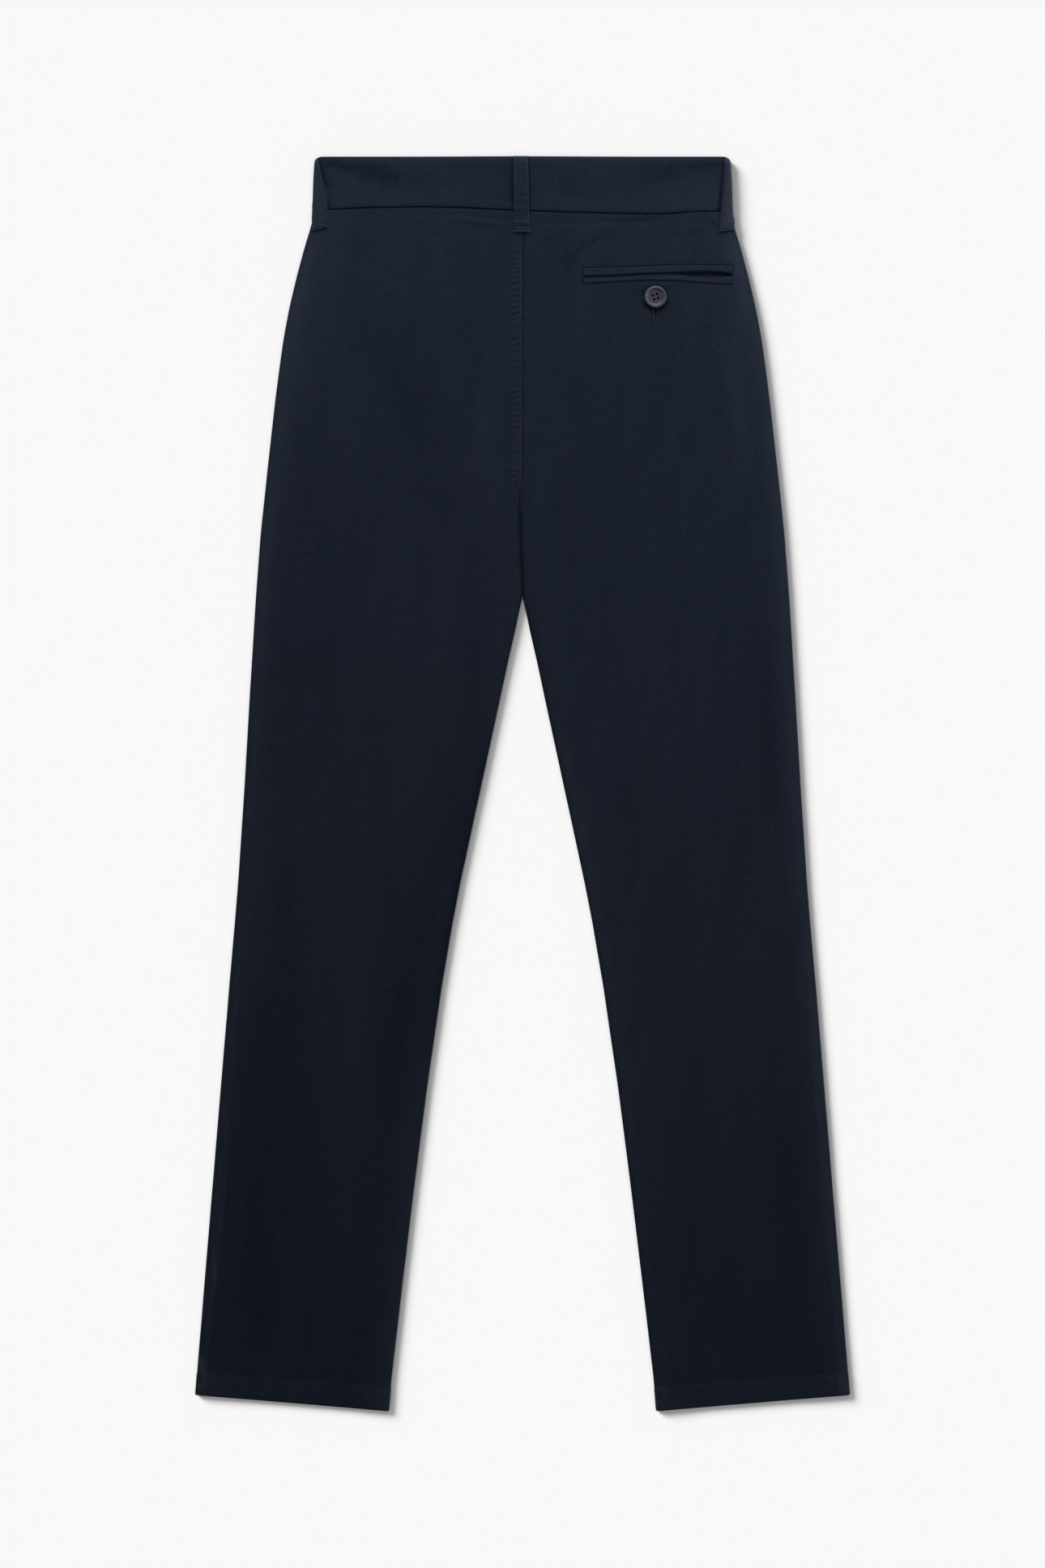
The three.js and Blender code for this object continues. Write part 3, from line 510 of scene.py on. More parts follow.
def noise(nodes, links, vector, scale, detail, roughness=0.5):
    node = nodes.new("ShaderNodeTexNoise")
    links.new(vector, node.inputs["Vector"])
    node.inputs["Scale"].default_value = scale
    node.inputs["Detail"].default_value = detail
    node.inputs["Roughness"].default_value = roughness
    return node.outputs["Fac"]


def twill_group():
    """Twill weave on flat cloth: diagonal ribs a wale apart, broken into yarns, uneven from yarn to yarn."""
    group = bpy.data.node_groups.new("twill weave", "ShaderNodeTree")
    group_input(group, "Vector", "NodeSocketVector")
    group.interface.new_socket(name="Height", in_out="OUTPUT", socket_type="NodeSocketFloat")
    group.interface.new_socket(name="Yarn", in_out="OUTPUT", socket_type="NodeSocketFloat")
    group.interface.new_socket(name="Lint", in_out="OUTPUT", socket_type="NodeSocketFloat")
    nodes, links = group.nodes, group.links
    start, end = nodes.new("NodeGroupInput"), nodes.new("NodeGroupOutput")
    vector = start.outputs["Vector"]
    wale, yarn = 2 * np.pi / (0.75 * MM), 2 * np.pi / (0.42 * MM)
    drift = noise(nodes, links, vector, 900.0, 2.0)
    rib = vector_maths(nodes, links, "DOT_PRODUCT", vector, (0.85 * wale, -0.53 * wale, 0))
    rib = maths(nodes, links, "SINE", maths(nodes, links, "MULTIPLY_ADD", drift, 2.2, rib))
    break_up = vector_maths(nodes, links, "DOT_PRODUCT", vector, (0.0, yarn, 0))
    break_up = maths(nodes, links, "SINE", break_up)
    height = maths(nodes, links, "MULTIPLY_ADD", rib, 0.36, 0.5)
    height = maths(nodes, links, "MULTIPLY_ADD", break_up, 0.12, height)
    slub = vector_maths(nodes, links, "MULTIPLY", vector, (1400.0, 160.0, 1.0))
    slub = noise(nodes, links, slub, 1.0, 3.0, 0.6)
    links.new(maths(nodes, links, "MULTIPLY_ADD", slub, 0.5, height), end.inputs["Height"])
    cells = nodes.new("ShaderNodeTexVoronoi")
    cells.voronoi_dimensions = "2D"
    cells.inputs["Scale"].default_value = 42.0
    links.new(vector_maths(nodes, links, "MULTIPLY", vector, (1.0, 0.4, 1.0)), cells.inputs["Vector"])
    near = maths(nodes, links, "LESS_THAN", cells.outputs["Distance"], 0.014)
    chosen = maths(nodes, links, "GREATER_THAN", cells.outputs["Color"], 0.45)
    links.new(maths(nodes, links, "MULTIPLY", near, chosen), end.inputs["Lint"])
    fleck = vector_maths(nodes, links, "MULTIPLY", vector, (190.0, 950.0, 1.0))
    fleck = maths(nodes, links, "SUBTRACT", noise(nodes, links, fleck, 1.0, 2.0, 0.6), 0.58)
    fleck = maths(nodes, links, "MAXIMUM", fleck, 0.0)
    links.new(maths(nodes, links, "MULTIPLY_ADD", fleck, 3.0, slub), end.inputs["Yarn"])
    return group


def washed_group():
    """Washed colour: the cloth's colour, its fades in broad soft patches, fine heather, and the wear and painted
    light of its input.
    """
    group = bpy.data.node_groups.new("washed colour", "ShaderNodeTree")
    group_input(group, "Object", "NodeSocketVector")
    group_input(group, "Yarn", "NodeSocketFloat", 0.5)
    group_input(group, "Height", "NodeSocketFloat", 0.5)
    group_input(group, "Wear and painted light", "NodeSocketFloat", 0.0)
    group_input(group, "Lint", "NodeSocketFloat", 0.0)
    group_input(group, "Deep", "NodeSocketColor", (0.01, 0.01, 0.02, 1))
    group_input(group, "Faded", "NodeSocketColor", (0.03, 0.03, 0.04, 1))
    group.interface.new_socket(name="Color", in_out="OUTPUT", socket_type="NodeSocketColor")
    group.interface.new_socket(name="Roughness", in_out="OUTPUT", socket_type="NodeSocketFloat")
    nodes, links = group.nodes, group.links
    start, end = nodes.new("NodeGroupInput"), nodes.new("NodeGroupOutput")
    place = start.outputs["Object"]
    broad = noise(nodes, links, vector_maths(nodes, links, "MULTIPLY", place, (1.0, 0.3, 1.0)), 14.0, 3.0,
        0.55)
    mottled = noise(nodes, links, place, 60.0, 4.0, 0.6)
    heather = noise(nodes, links, place, 1300.0, 2.0, 0.7)
    lint = noise(nodes, links, place, 420.0, 3.0, 0.75)
    mask = maths(nodes, links, "MULTIPLY_ADD", broad, 0.14, 0.01)
    mask = maths(nodes, links, "MULTIPLY_ADD", mottled, 0.06, mask)
    mask = maths(nodes, links, "MULTIPLY_ADD", noise(nodes, links, place, 260.0, 3.0, 0.65), 0.24, mask)
    mask = maths(nodes, links, "MULTIPLY_ADD", heather, 0.30, mask)
    mask = maths(nodes, links, "MULTIPLY_ADD", start.outputs["Yarn"], 0.20, mask)
    mask = maths(nodes, links, "MULTIPLY_ADD", start.outputs["Height"], 0.14, mask)
    mask = maths(nodes, links, "SUBTRACT", mask, 0.33)
    # Wear, painted shade and painted highlights move the colour towards the faded or the deep colour.
    worn = maths(nodes, links, "MULTIPLY", start.outputs["Wear and painted light"], maths(nodes, links, "ADD", lint, 0.25))
    mask = maths(nodes, links, "ADD", mask, worn)
    mask = maths(nodes, links, "MULTIPLY_ADD", start.outputs["Lint"], 0.7, mask)
    blend = nodes.new("ShaderNodeMix")
    blend.data_type = "RGBA"
    blend.clamp_factor = True
    links.new(mask, blend.inputs["Factor"])
    links.new(start.outputs["Deep"], blend.inputs["A"])
    links.new(start.outputs["Faded"], blend.inputs["B"])
    links.new(blend.outputs["Result"], end.inputs["Color"])
    rough = maths(nodes, links, "MULTIPLY_ADD", mottled, 0.12, 0.80)
    links.new(rough, end.inputs["Roughness"])
    return group


def group_node(nodes, group, **values):
    """A group placed in a material with its own values."""
    node = nodes.new("ShaderNodeGroup")
    node.node_tree = group
    for name, value in values.items():
        node.inputs[name].default_value = value
    return node


def cloth_material(name, deep, faded, relief, sheen):
    """Matte dyed twill: weave as bump and colour, sheen on the shader."""
    material = bpy.data.materials.new(name)
    material.use_nodes = True
    nodes, links = material.node_tree.nodes, material.node_tree.links
    shader = nodes["Principled BSDF"]
    shader.inputs["Specular IOR Level"].default_value = 0.12
    shader.inputs["Sheen Weight"].default_value = sheen
    shader.inputs["Sheen Roughness"].default_value = 0.45
    shader.inputs["Sheen Tint"].default_value = (0.72, 0.82, 1.0, 1)
    uv = nodes.new("ShaderNodeUVMap")
    uv.uv_map = "cloth"
    place = nodes.new("ShaderNodeTexCoord")
    wear_and_painted_light = nodes.new("ShaderNodeAttribute")
    wear_and_painted_light.attribute_name = "wear_and_painted_light"
    twill = group_node(nodes, bpy.data.node_groups["twill weave"])
    washed = group_node(nodes, bpy.data.node_groups["washed colour"], Deep=deep, Faded=faded)
    links.new(uv.outputs["UV"], twill.inputs["Vector"])
    links.new(place.outputs["Object"], washed.inputs["Object"])
    links.new(twill.outputs["Yarn"], washed.inputs["Yarn"])
    links.new(twill.outputs["Height"], washed.inputs["Height"])
    links.new(twill.outputs["Lint"], washed.inputs["Lint"])
    links.new(wear_and_painted_light.outputs["Fac"], washed.inputs["Wear and painted light"])
    links.new(washed.outputs["Color"], shader.inputs["Base Color"])
    links.new(washed.outputs["Roughness"], shader.inputs["Roughness"])
    bump = nodes.new("ShaderNodeBump")
    bump.inputs["Strength"].default_value = relief
    bump.inputs["Distance"].default_value = 0.12 * MM
    links.new(twill.outputs["Height"], bump.inputs["Height"])
    links.new(bump.outputs["Normal"], shader.inputs["Normal"])
    return material


def thread_material(name, deep, faded):
    """Sewing thread: two plies wound round each other, as bump and colour."""
    material = bpy.data.materials.new(name)
    material.use_nodes = True
    nodes, links = material.node_tree.nodes, material.node_tree.links
    shader = nodes["Principled BSDF"]
    shader.inputs["Specular IOR Level"].default_value = 0.15
    shader.inputs["Sheen Weight"].default_value = 0.03
    place = nodes.new("ShaderNodeTexCoord")
    ply = nodes.new("ShaderNodeTexWave")
    ply.bands_direction = "DIAGONAL"
    ply.inputs["Scale"].default_value = 620.0
    ply.inputs["Distortion"].default_value = 1.5
    links.new(place.outputs["Object"], ply.inputs["Vector"])
    blend = nodes.new("ShaderNodeMix")
    blend.data_type = "RGBA"
    links.new(ply.outputs["Fac"], blend.inputs["Factor"])
    blend.inputs["A"].default_value = deep
    blend.inputs["B"].default_value = faded
    links.new(blend.outputs["Result"], shader.inputs["Base Color"])
    links.new(maths(nodes, links, "MULTIPLY_ADD", ply.outputs["Fac"], 0.15, 0.5), shader.inputs["Roughness"])
    bump = nodes.new("ShaderNodeBump")
    bump.inputs["Distance"].default_value = 0.05 * MM
    links.new(ply.outputs["Fac"], bump.inputs["Height"])
    links.new(bump.outputs["Normal"], shader.inputs["Normal"])
    return material


def button_material(name, colour, pale):
    """Cast plastic: clouded colour, fine tool marks, a soft gloss and the painted shade of the button's
    attribute.
    """
    material = bpy.data.materials.new(name)
    material.use_nodes = True
    nodes, links = material.node_tree.nodes, material.node_tree.links
    shader = nodes["Principled BSDF"]
    shader.inputs["Specular IOR Level"].default_value = 0.3
    shader.inputs["Coat Weight"].default_value = 0.04
    place = nodes.new("ShaderNodeTexCoord")
    cloud = noise(nodes, links, place.outputs["Object"], 160.0, 4.0, 0.55)
    marks = noise(nodes, links, place.outputs["Object"], 1500.0, 3.0, 0.6)
    blend = nodes.new("ShaderNodeMix")
    blend.data_type = "RGBA"
    blend.inputs["A"].default_value = colour
    blend.inputs["B"].default_value = pale
    links.new(maths(nodes, links, "MULTIPLY_ADD", cloud, 1.4, -0.3), blend.inputs["Factor"])
    pits_and_shade = nodes.new("ShaderNodeAttribute")
    pits_and_shade.attribute_name = "pits_and_shade"
    # Mixes to near black by the painted shade of the holes, the ring groove and the rim's right side.
    holes = nodes.new("ShaderNodeMix")
    holes.data_type = "RGBA"
    links.new(pits_and_shade.outputs["Fac"], holes.inputs["Factor"])
    links.new(blend.outputs["Result"], holes.inputs["A"])
    holes.inputs["B"].default_value = (0.004, 0.004, 0.006, 1)
    links.new(holes.outputs["Result"], shader.inputs["Base Color"])
    links.new(maths(nodes, links, "MULTIPLY_ADD", marks, 0.25, 0.34), shader.inputs["Roughness"])
    bump = nodes.new("ShaderNodeBump")
    bump.inputs["Strength"].default_value = 0.4
    bump.inputs["Distance"].default_value = 0.03 * MM
    links.new(marks, bump.inputs["Height"])
    links.new(bump.outputs["Normal"], shader.inputs["Normal"])
    return material


def floor_material(name, colour):
    """Matt floor of one pale tone."""
    material = bpy.data.materials.new(name)
    material.use_nodes = True
    shader = material.node_tree.nodes["Principled BSDF"]
    shader.inputs["Specular IOR Level"].default_value = 0.0
    shader.inputs["Roughness"].default_value = 1.0
    shader.inputs["Base Color"].default_value = colour
    return material


# Sizes and colours that a user would change

def millimetres(name, description, value, low=0.0, high=1000.0):
    return bpy.props.FloatProperty(name=name, description=description, default=value * MM, min=low * MM,
                                   max=high * MM, unit="LENGTH", subtype="DISTANCE", precision=5)


def colour_property(name, description, value):
    return bpy.props.FloatVectorProperty(name=name, description=description, default=(*value, 1.0), size=4,
                                         min=0.0, max=1.0, subtype="COLOR")


class TrousersSizes(bpy.types.PropertyGroup):
    panel_thickness: millimetres("Panel cloth", "Thickness of the shown panel cloth", 0.8)
    band_thickness: millimetres("Waistband", "Thickness of the shown waistband", 1.2)
    loop_thickness: millimetres("Belt loop", "Thickness of the shown belt loops", 0.95)
    stitch_pitch: millimetres("Stitch pitch", "Distance from one stitch to the next", 3.0)
    stitch_length: millimetres("Stitch length", "Visible length of one stitch", 2.3)
    stitch_width: millimetres("Thread width", "Width of the sewing thread", 0.42)
    fell_width: millimetres("Seat seam allowance", "Width of the felled seat seam", 8.6)
    fell_height: millimetres("Seat seam height", "How far the seam's corded edge stands up", 0.5)
    pucker: millimetres("Pucker", "Height of the puckers beside seams", 0.24)
    ripple: millimetres("Ripple", "Height of the cloth's broad unevenness", 0.035)
    twill_relief: bpy.props.FloatProperty(name="Weave relief", description="Strength of the twill's bump",
                                          default=0.7, min=0, max=1, subtype="FACTOR")
    sheen: bpy.props.FloatProperty(name="Sheen", description="Soft light on grazing cloth", default=0.06,
                                   min=0, max=1, subtype="FACTOR")


class TrousersColours(bpy.types.PropertyGroup):
    deep: colour_property("Cloth", "Unfaded colour of the twill", (0.0036, 0.0085, 0.0208))
    faded: colour_property("Faded cloth", "Colour of worn and faded twill", (0.0380, 0.0500, 0.0765))
    thread_deep: colour_property("Thread", "Colour of the sewing thread", (0.014, 0.021, 0.040))
    thread_pale: colour_property("Thread highlight", "Colour of the thread's raised ply",
        (0.044, 0.058, 0.102))
    button: colour_property("Button", "Colour of the buttons", (0.066, 0.064, 0.094))
    button_pale: colour_property("Button clouding", "Paler colour in the buttons", (0.120, 0.115, 0.160))
    floor: colour_property("Floor", "Colour of the floor", (0.888, 0.885, 0.888))


def sizes():
    return bpy.context.scene.trousers_sizes


def colours():
    return bpy.context.scene.trousers_colours


def in_mm(value):
    return value / MM


def finish_of(name):
    """The material of that name, made when it is first asked for."""
    if name in bpy.data.materials:
        return bpy.data.materials[name]
    tint, size = colours(), sizes()
    if "twill weave" not in bpy.data.node_groups:
        twill_group()
        washed_group()
    if name == "navy twill":
        return cloth_material(name, tint.deep, tint.faded, size.twill_relief, size.sheen)
    if name == "waistband twill":
        return cloth_material(name, [c * 1.04 for c in tint.deep[:3]] + [1], tint.faded, size.twill_relief,
            size.sheen)
    if name == "trim twill":
        return cloth_material(name, [c * 1.12 for c in tint.deep[:3]] + [1], tint.faded, size.twill_relief,
            size.sheen)
    if name == "navy thread":
        return thread_material(name, tint.thread_deep, tint.thread_pale)
    return button_material(name, tint.button, tint.button_pale)


# Back panels

def panel_rows():
    """Levels of the rows: close at the waist seam, the pocket, the seat seam and the hem, wider down the legs."""
    return np.unique(np.concatenate([
        np.arange(FRONT_SEAM_DOWN, 62, 0.75), np.arange(62, 84, 1.6), np.arange(84, 142, 0.8),
        np.arange(142, 288, 1.25), np.arange(288, 1000, 6.5), np.arange(1000, LENGTH, 1.6), [LENGTH],
    ]))


def curved_down(side, u, down, over):
    """Rows near the waist seam bend with it."""
    return down + (seam_down(side, u, over) - FRONT_SEAM_DOWN) * (1 - smooth(down, FRONT_SEAM_DOWN, 62))


def leg_y(side, u, label, down):
    """Place along the leg: the hem rises towards the side."""
    inside = inside_at(side, label)
    across = np.clip((u - inside) / (side_at(label) - inside), 0, 1)
    return y_at(down) + HEM_RISE * hem_share(label) * across


def in_pocket(x, down, grow):
    """1 inside the pocket's slot grown by a margin, 0 outside it."""
    top = read(POCKET, "top", x, "x", soft=6) - grow
    bottom = read(POCKET, "bottom", x, "x", soft=6) + grow
    inside = smooth(down, top - 0.5, top + 0.5) * (1 - smooth(down, bottom - 0.5, bottom + 0.5))
    return inside * smooth(x, 49.4 - grow, 50.4 - grow) * (1 - smooth(x, 173 + grow, 174 + grow))


def buttonhole_groove(x, down):
    """A groove that is wide at its upper end, under the button, and closes to a point."""
    half = mix(1.7, 0.3, np.clip((down - POCKET_BUTTON["down"]) / (BUTTONHOLE_END - POCKET_BUTTON["down"]),
        0, 1))
    span = smooth(down, POCKET_BUTTON["down"] - 3, POCKET_BUTTON["down"]) * (1
        - smooth(down, BUTTONHOLE_END - 1, BUTTONHOLE_END))
    return span * (1 - smooth(np.abs(x - POCKET_BUTTON["x"]), half * 0.4, half + 0.5))


def seam_beat(place, down):
    """Uneven slanting rungs that the stitches of the seat seam draw across its allowance."""
    lean = 0.45 + 0.13 * np.sin(down / 19) + 0.09 * np.sin(down / 7.3 + 1)
    return np.sin(2 * np.pi * (down + lean * (place + 5)) / 4.5 + 1.6 * np.sin(down / 7.3)
        + np.sin(down / 3.7))


def seat_seam_relief(side, x, down):
    """The felled seam: a corded edge at the seam, the stitched allowance to its left, drawn into short
    slanting ripples by its stitches, and the right panel going in under it."""
    size = sizes()
    fell, tall, pucker = in_mm(size.fell_width), in_mm(size.fell_height), in_mm(size.pucker)
    on = 1 - smooth(down, CROTCH_START, CROTCH_START + 7)
    place = x - read(CENTRE_LINE, "x", down, soft=4) + 0.3
    if side > 0:
        under = 1 - smooth(place, -0.1, 0.9)
        return on * (-0.42 * under - 0.07 * bell(place - 1.0, 0.7)
            + 0.5 * pucker * waves(x, down, 88, 3, 9) * bell(place, 5))
    cord = tall * np.sqrt(np.clip(1 - ((place + 1.15) / 1.35) ** 2, 0, 1))
    strip = 0.12 * smooth(place, -fell - 1.6, -fell + 0.6)
    beat = seam_beat(place, down)
    uneven = 0.25 + 0.75 * smooth(waves(x * 0, down, 23, 5, 60), -0.8, 0.9)
    ripples = 1.7 * beat * uneven * bell(place + 5.6, 2.6)
    return on * (cord + strip + pucker * ripples - 0.20 * bell(place - SEAT_STITCH_X, 0.55)
        - 0.10 * bell(place + fell + 0.6, 0.8))


def waist_seam_relief(x, down, seam):
    """The panel dips into the waist seam and is puckered where the waistband eases it in."""
    below = down - seam
    pull = 0.9 * bell(x - 108, 28) + 0.5 * bell(x + 30, 18) + 0.3
    beat = np.sin(2 * np.pi * (x + 0.15 * below) / 8.5 + 1.4 * np.sin(x / 19)) * (0.5
        + 0.5 * np.sin(x / 13 + 1))
    return -0.35 * bell(below, 1.0) + in_mm(sizes().pucker) * 1.6 * pull * beat * bell(below - 3, 5)


def hem_relief(down):
    """The turned-up hem is thicker below its stitches, which draw the cloth in."""
    line = LENGTH - HEM_DEPTH
    return 0.2 * smooth(down, line + 0.4, line + 2) - 0.16 * bell(down - line, 0.9) - 0.35 * smooth(down,
        LENGTH - 1.2, LENGTH)


def side_ridge_relief(side, u, down):
    """The side seam's allowance shows through as a faint ridge inside the fold."""
    from_edge = side_at(down) - u
    strength = smooth(down, 330, 640) * (0.55 if side > 0 else 1.0)
    wander = 8.0 + 1.4 * np.sin(down / 61) + 0.8 * np.sin(down / 23 + 1)
    return strength * (0.26 * bell(from_edge - wander, 1.8) - 0.16 * bell(from_edge - wander - 4.5, 2.6))


def back_relief(side, u, down, seam):
    """All the fine relief of a back panel, outwards."""
    x = side * u
    ripple = in_mm(sizes().ripple)
    calm = 1 - 0.75 * in_pocket(x, down, 8) if side > 0 else 1.0
    relief = lines_relief(CREASES, x, down)
    relief = relief + ripple * waves(x, 0.35 * down, 5, 18, 120) * calm
    relief = relief + seat_seam_relief(side, x, down) + waist_seam_relief(x, down, seam)
    relief = relief + hem_relief(down) + side_ridge_relief(side, u, down)
    if side > 0:
        relief = relief - 0.75 * in_pocket(x, down, 0.0) - 0.9 * buttonhole_groove(x, down)
        relief = relief - 0.12 * in_pocket(x, down, 1.6) * (1 - in_pocket(x, down, 0.0))
    return relief


# Painted shade on the waistband: in the soft folds running in from its corners, beside the centre back loop and
# along the side loops' inner edges.
BAND_PAINTED_SHADE = rows_of(
    FOLD_COLUMNS,
    (-166, 6, -140, 12, 5, -0.18), (-140, 12, -104, 22, 7, -0.19), (-104, 22, -70, 25, 8, -0.08),
    (165, 8, 134, 12, 6, -0.17), (134, 12, 100, 20, 9, -0.17), (100, 20, 60, 23, 9, -0.10),
    (60, 20, 14, 14, 9, -0.06), (-8.6, 0, -8.0, 45, 0.9, -0.5), (5.4, 0, 6.0, 45, 0.9, -0.5),
    (-13, 2, -14, 44, 7, -0.05), (10, 2, 11, 44, 7, -0.05),
    (-14, 16, -60, 20, 9, -0.03), (30, 20, 60, 23, 9, -0.03), (-169.6, 5, -161.5, 26, 2.0, -0.5),
    (-161, 26, -159.8, 36, 1.5, -0.15), (-160.2, 36, -159.4, 45, 1.0, -0.5),
        (166.4, 3, 164.6, 24, 1.2, -0.30), (164.4, 24, 162.2, 45, 1.2, -0.85),
)
# Streaks paler (+) or darker (-): worn pale lines by the left leg's outer edge above the hem, and painted light
# and painted shade across the seat and legs, along their folds and creases
WEAR_AND_SHADING_STREAKS = rows_of(
    FOLD_COLUMNS,
    (-146, 112, -112, 185, 13, -0.08), (-112, 185, -88, 240, 14, -0.08), (-88, 240, -62, 300, 15, -0.04),
    (176, 72, 181, 100, 6, 0.10), (-222, 700, -228, 790, 15, -0.06),
    (-266, 1003, -265, 1016, 3.0, 0.9), (-255.5, 905, -254.5, 940, 1.8, 0.5),
        (-250, 830, -252, 870, 1.6, 0.25),
    (-84, 120, -60, 200, 20, 0.03), (171, 150, 182, 275, 11, 0.08), (192, 190, 197, 315, 6, -0.05),
    (157, 330, 162, 520, 16, 0.05), (198, 385, 206, 540, 9, -0.10), (-194, 400, -184, 540, 30, -0.07),
    (-46, 375, -46, 490, 14, -0.07), (-46, 490, -70, 580, 14, -0.08), (-70, 580, -95, 680, 14, -0.08),
    (-95, 680, -114, 785, 12, -0.09), (-130, 540, -144, 660, 14, 0.04), (-144, 660, -150, 990, 15, 0.05),
    (-188, 580, -200, 700, 18, -0.10), (-200, 700, -224, 850, 17, -0.12), (-224, 850, -214, 990, 17, -0.09),
    (206, 780, 226, 1000, 22, -0.07), (165, 930, 200, 1010, 18, -0.05), (-184, 95, -200, 190, 16, 0.10),
    (176, 70, 186, 150, 8, 0.14), (36, 100, 40, 86, 3.0, -0.12), (40, 86, 57, 71, 3.0, -0.12),
    (57, 71, 112, 52, 3.0, -0.08), (-191, 460, -97, 473, 2.4, -0.06), (-34, 190, -22, 300, 14, 0.06),
    (-182, 400, -170, 430, 20, -0.06), (40, 640, 120, 780, 30, 0.03),
)


def panel_wear_and_painted_light(side, u, down):
    """Paler along the folds, worn on edges and hems, with painted shade and highlights at seams, creases and
    edges.
    """
    x, from_edge = side * u, side_at(down) - u
    from_inside = u - inside_at(side, down)
    broken = smooth(waves(u * 0, down, 31 + side, 14, 120), -0.2, 1.1)
    fade_and_shade = (0.19 if side > 0 else 0.26 - 0.08 * smooth(down, 420, 520)) * bell(from_edge - 4,
        9) + 0.04 * bell(from_edge - 14, 22)
    if side > 0:
        fade_and_shade = fade_and_shade + 0.14 * bell(from_edge - 4, 7) * smooth(down, 600, 740)
    lower = smooth(down, 620, 800) * (1.0 if side < 0 else 0.35)
    # Outseam ridge of the lower legs: a worn pale line in broken stretches, and painted shade beside it.
    ridge = from_edge - 8.0 - 1.4 * np.sin(down / 61) - 0.8 * np.sin(down / 23 + 1)
    fade_and_shade = fade_and_shade + lower * (0.30 * bell(ridge, 1.3) * (0.3 + 0.7 * broken) - 0.16 * bell(ridge - 3.2, 2.0))
    if side < 0:
        fade_and_shade = fade_and_shade - 0.22 * bell(from_inside, 9) * smooth(down, 440, 540) * (1 - smooth(down, 640, 760))
        fade_and_shade = fade_and_shade + 0.30 * bell(from_inside, 18) * smooth(down, 690, 880)
    else:
        fade_and_shade = fade_and_shade + 0.24 * bell(from_inside - 4, 8) * smooth(down, 420, 520)
    # Painted shadow along the inner edges where the legs meet at the crotch.
    fade_and_shade = fade_and_shade - 0.24 * bell(from_inside, 0.9) * smooth(down, CROTCH_START, CROTCH_END) * (1
        - smooth(down, 360, 380))
    fade_and_shade = fade_and_shade + lines_relief(WEAR_AND_SHADING_STREAKS, x, down)
    # Painted shade along the outer edges and along the legs' inner edges below the crotch; broken wear paler on
    # the lower outer edges.
    edge = (0.45 * broken * lower - 0.30) * bell(from_edge, 2.2) - 0.25 * bell(from_inside,
        2.2) * (down > CROTCH_END)
    hem = bell(LENGTH - down, 2.4) * (0.25 + 0.75 * smooth(waves(x, down * 0, 41, 9, 60), -0.1, 1.2))
    streaks = 0.5 + 0.5 * smooth(waves(x, down * 0.1, 83, 2.5, 22), -0.9, 1.2)
    hem_band = (0.20 if side < 0 else 0.17) * streaks * smooth(down, LENGTH - HEM_DEPTH - 1, LENGTH
        - HEM_DEPTH + 3)
    corner = (1.0 if side < 0 else 0.2) * bell(from_edge - 2, 9) * bell(LENGTH - down - 8,
        14) * smooth(waves(x, down, 47, 3, 12), -0.2, 0.8)
    if side > 0:
        corner = corner + 0.8 * bell(from_inside - 3, 5) * bell(LENGTH - down - 11,
            8) * smooth(waves(x, down, 29, 3, 12), -0.4, 0.8)
    seat = 1 - smooth(down, CROTCH_START, CROTCH_START + 6)
    # Seat seam: a paler strip along its allowance, painted shade in the rungs of its stitches, a painted
    # highlight on its corded edge and painted shade in the groove beside it.
    strip = 0.15 * smooth(x, -9.8, -8.4) * (1 - smooth(x, -2.2, -0.6))
    strip = strip - 0.34 * smooth(seam_beat(x, down), 0.2, 0.9) * bell(x + 6.8, 2.0)
    patchy = 0.35 + 0.65 * smooth(waves(u * 0, down, 53, 5, 60), -0.7, 0.9)
    cord = seat * (strip * (side < 0) + 0.32 * patchy * bell(x + 1.0, 0.9) * (side < 0)
        - 0.10 * bell(x - 0.9, 0.6))
    faded = 0.03 * waves(x, 0.15 * down, 19, 10, 90)
    return fade_and_shade + edge + 0.34 * hem + hem_band + corner + cord + faded


def back_cloth(side):
    """Outer face of a back panel as a grid of rows down the leg and columns round it."""
    down = panel_rows()
    extra = np.concatenate([np.linspace(0.272, 0.288, 5), np.linspace(0.58, 0.64, 12),
        np.linspace(0.958, 0.994, 10)])
    extra = extra if side > 0 else ()
    u, z = back_section(side, down, extra)
    label = np.broadcast_to(down[:, None], u.shape)
    columns = len(SIDE_ALONG)
    over = np.ones(u.shape)
    over[:, -columns:] = 1 - np.clip(SIDE_ALONG / 2, 0, 1)
    seam = seam_down(side, u, over)
    real = curved_down(side, u, label, over)
    lip = label < FRONT_SEAM_DOWN + 0.1
    cloth = Cloth(side, u, z, leg_y(side, u, label, real + SEAM_GAP / 2 * (label < 46)), label)
    facing_up = smooth(cloth.normals[:, :, 2], -0.5, 0.1)
    cloth.raise_by((back_relief(side, u, real, seam) - 1.5 * lip) * facing_up)
    cloth.points[:, :, 1] += 1.5 * lip * facing_up
    # Painted shade in the waist seam.
    cloth.wear_and_painted_light = panel_wear_and_painted_light(side, u, label) - 0.28 * bell(real - seam, 0.8)
    if side > 0:
        # Painted shadow in a ring round the pocket button.
        from_button = np.hypot(u - POCKET_BUTTON["x"], real - POCKET_BUTTON["down"]) - POCKET_BUTTON["radius"]
        cloth.wear_and_painted_light = cloth.wear_and_painted_light - 0.6 * bell(from_button - 0.6, 1.1)
        # Painted shade in a ring round the pocket's slot, weaker below the lips.
        upper = 1 - 0.7 * smooth(real, 97, 100)
        cloth.wear_and_painted_light = cloth.wear_and_painted_light - 0.42 * upper * (in_pocket(u, real, 0.5) - in_pocket(u, real, -0.9))
    cloth.real = real
    return cloth


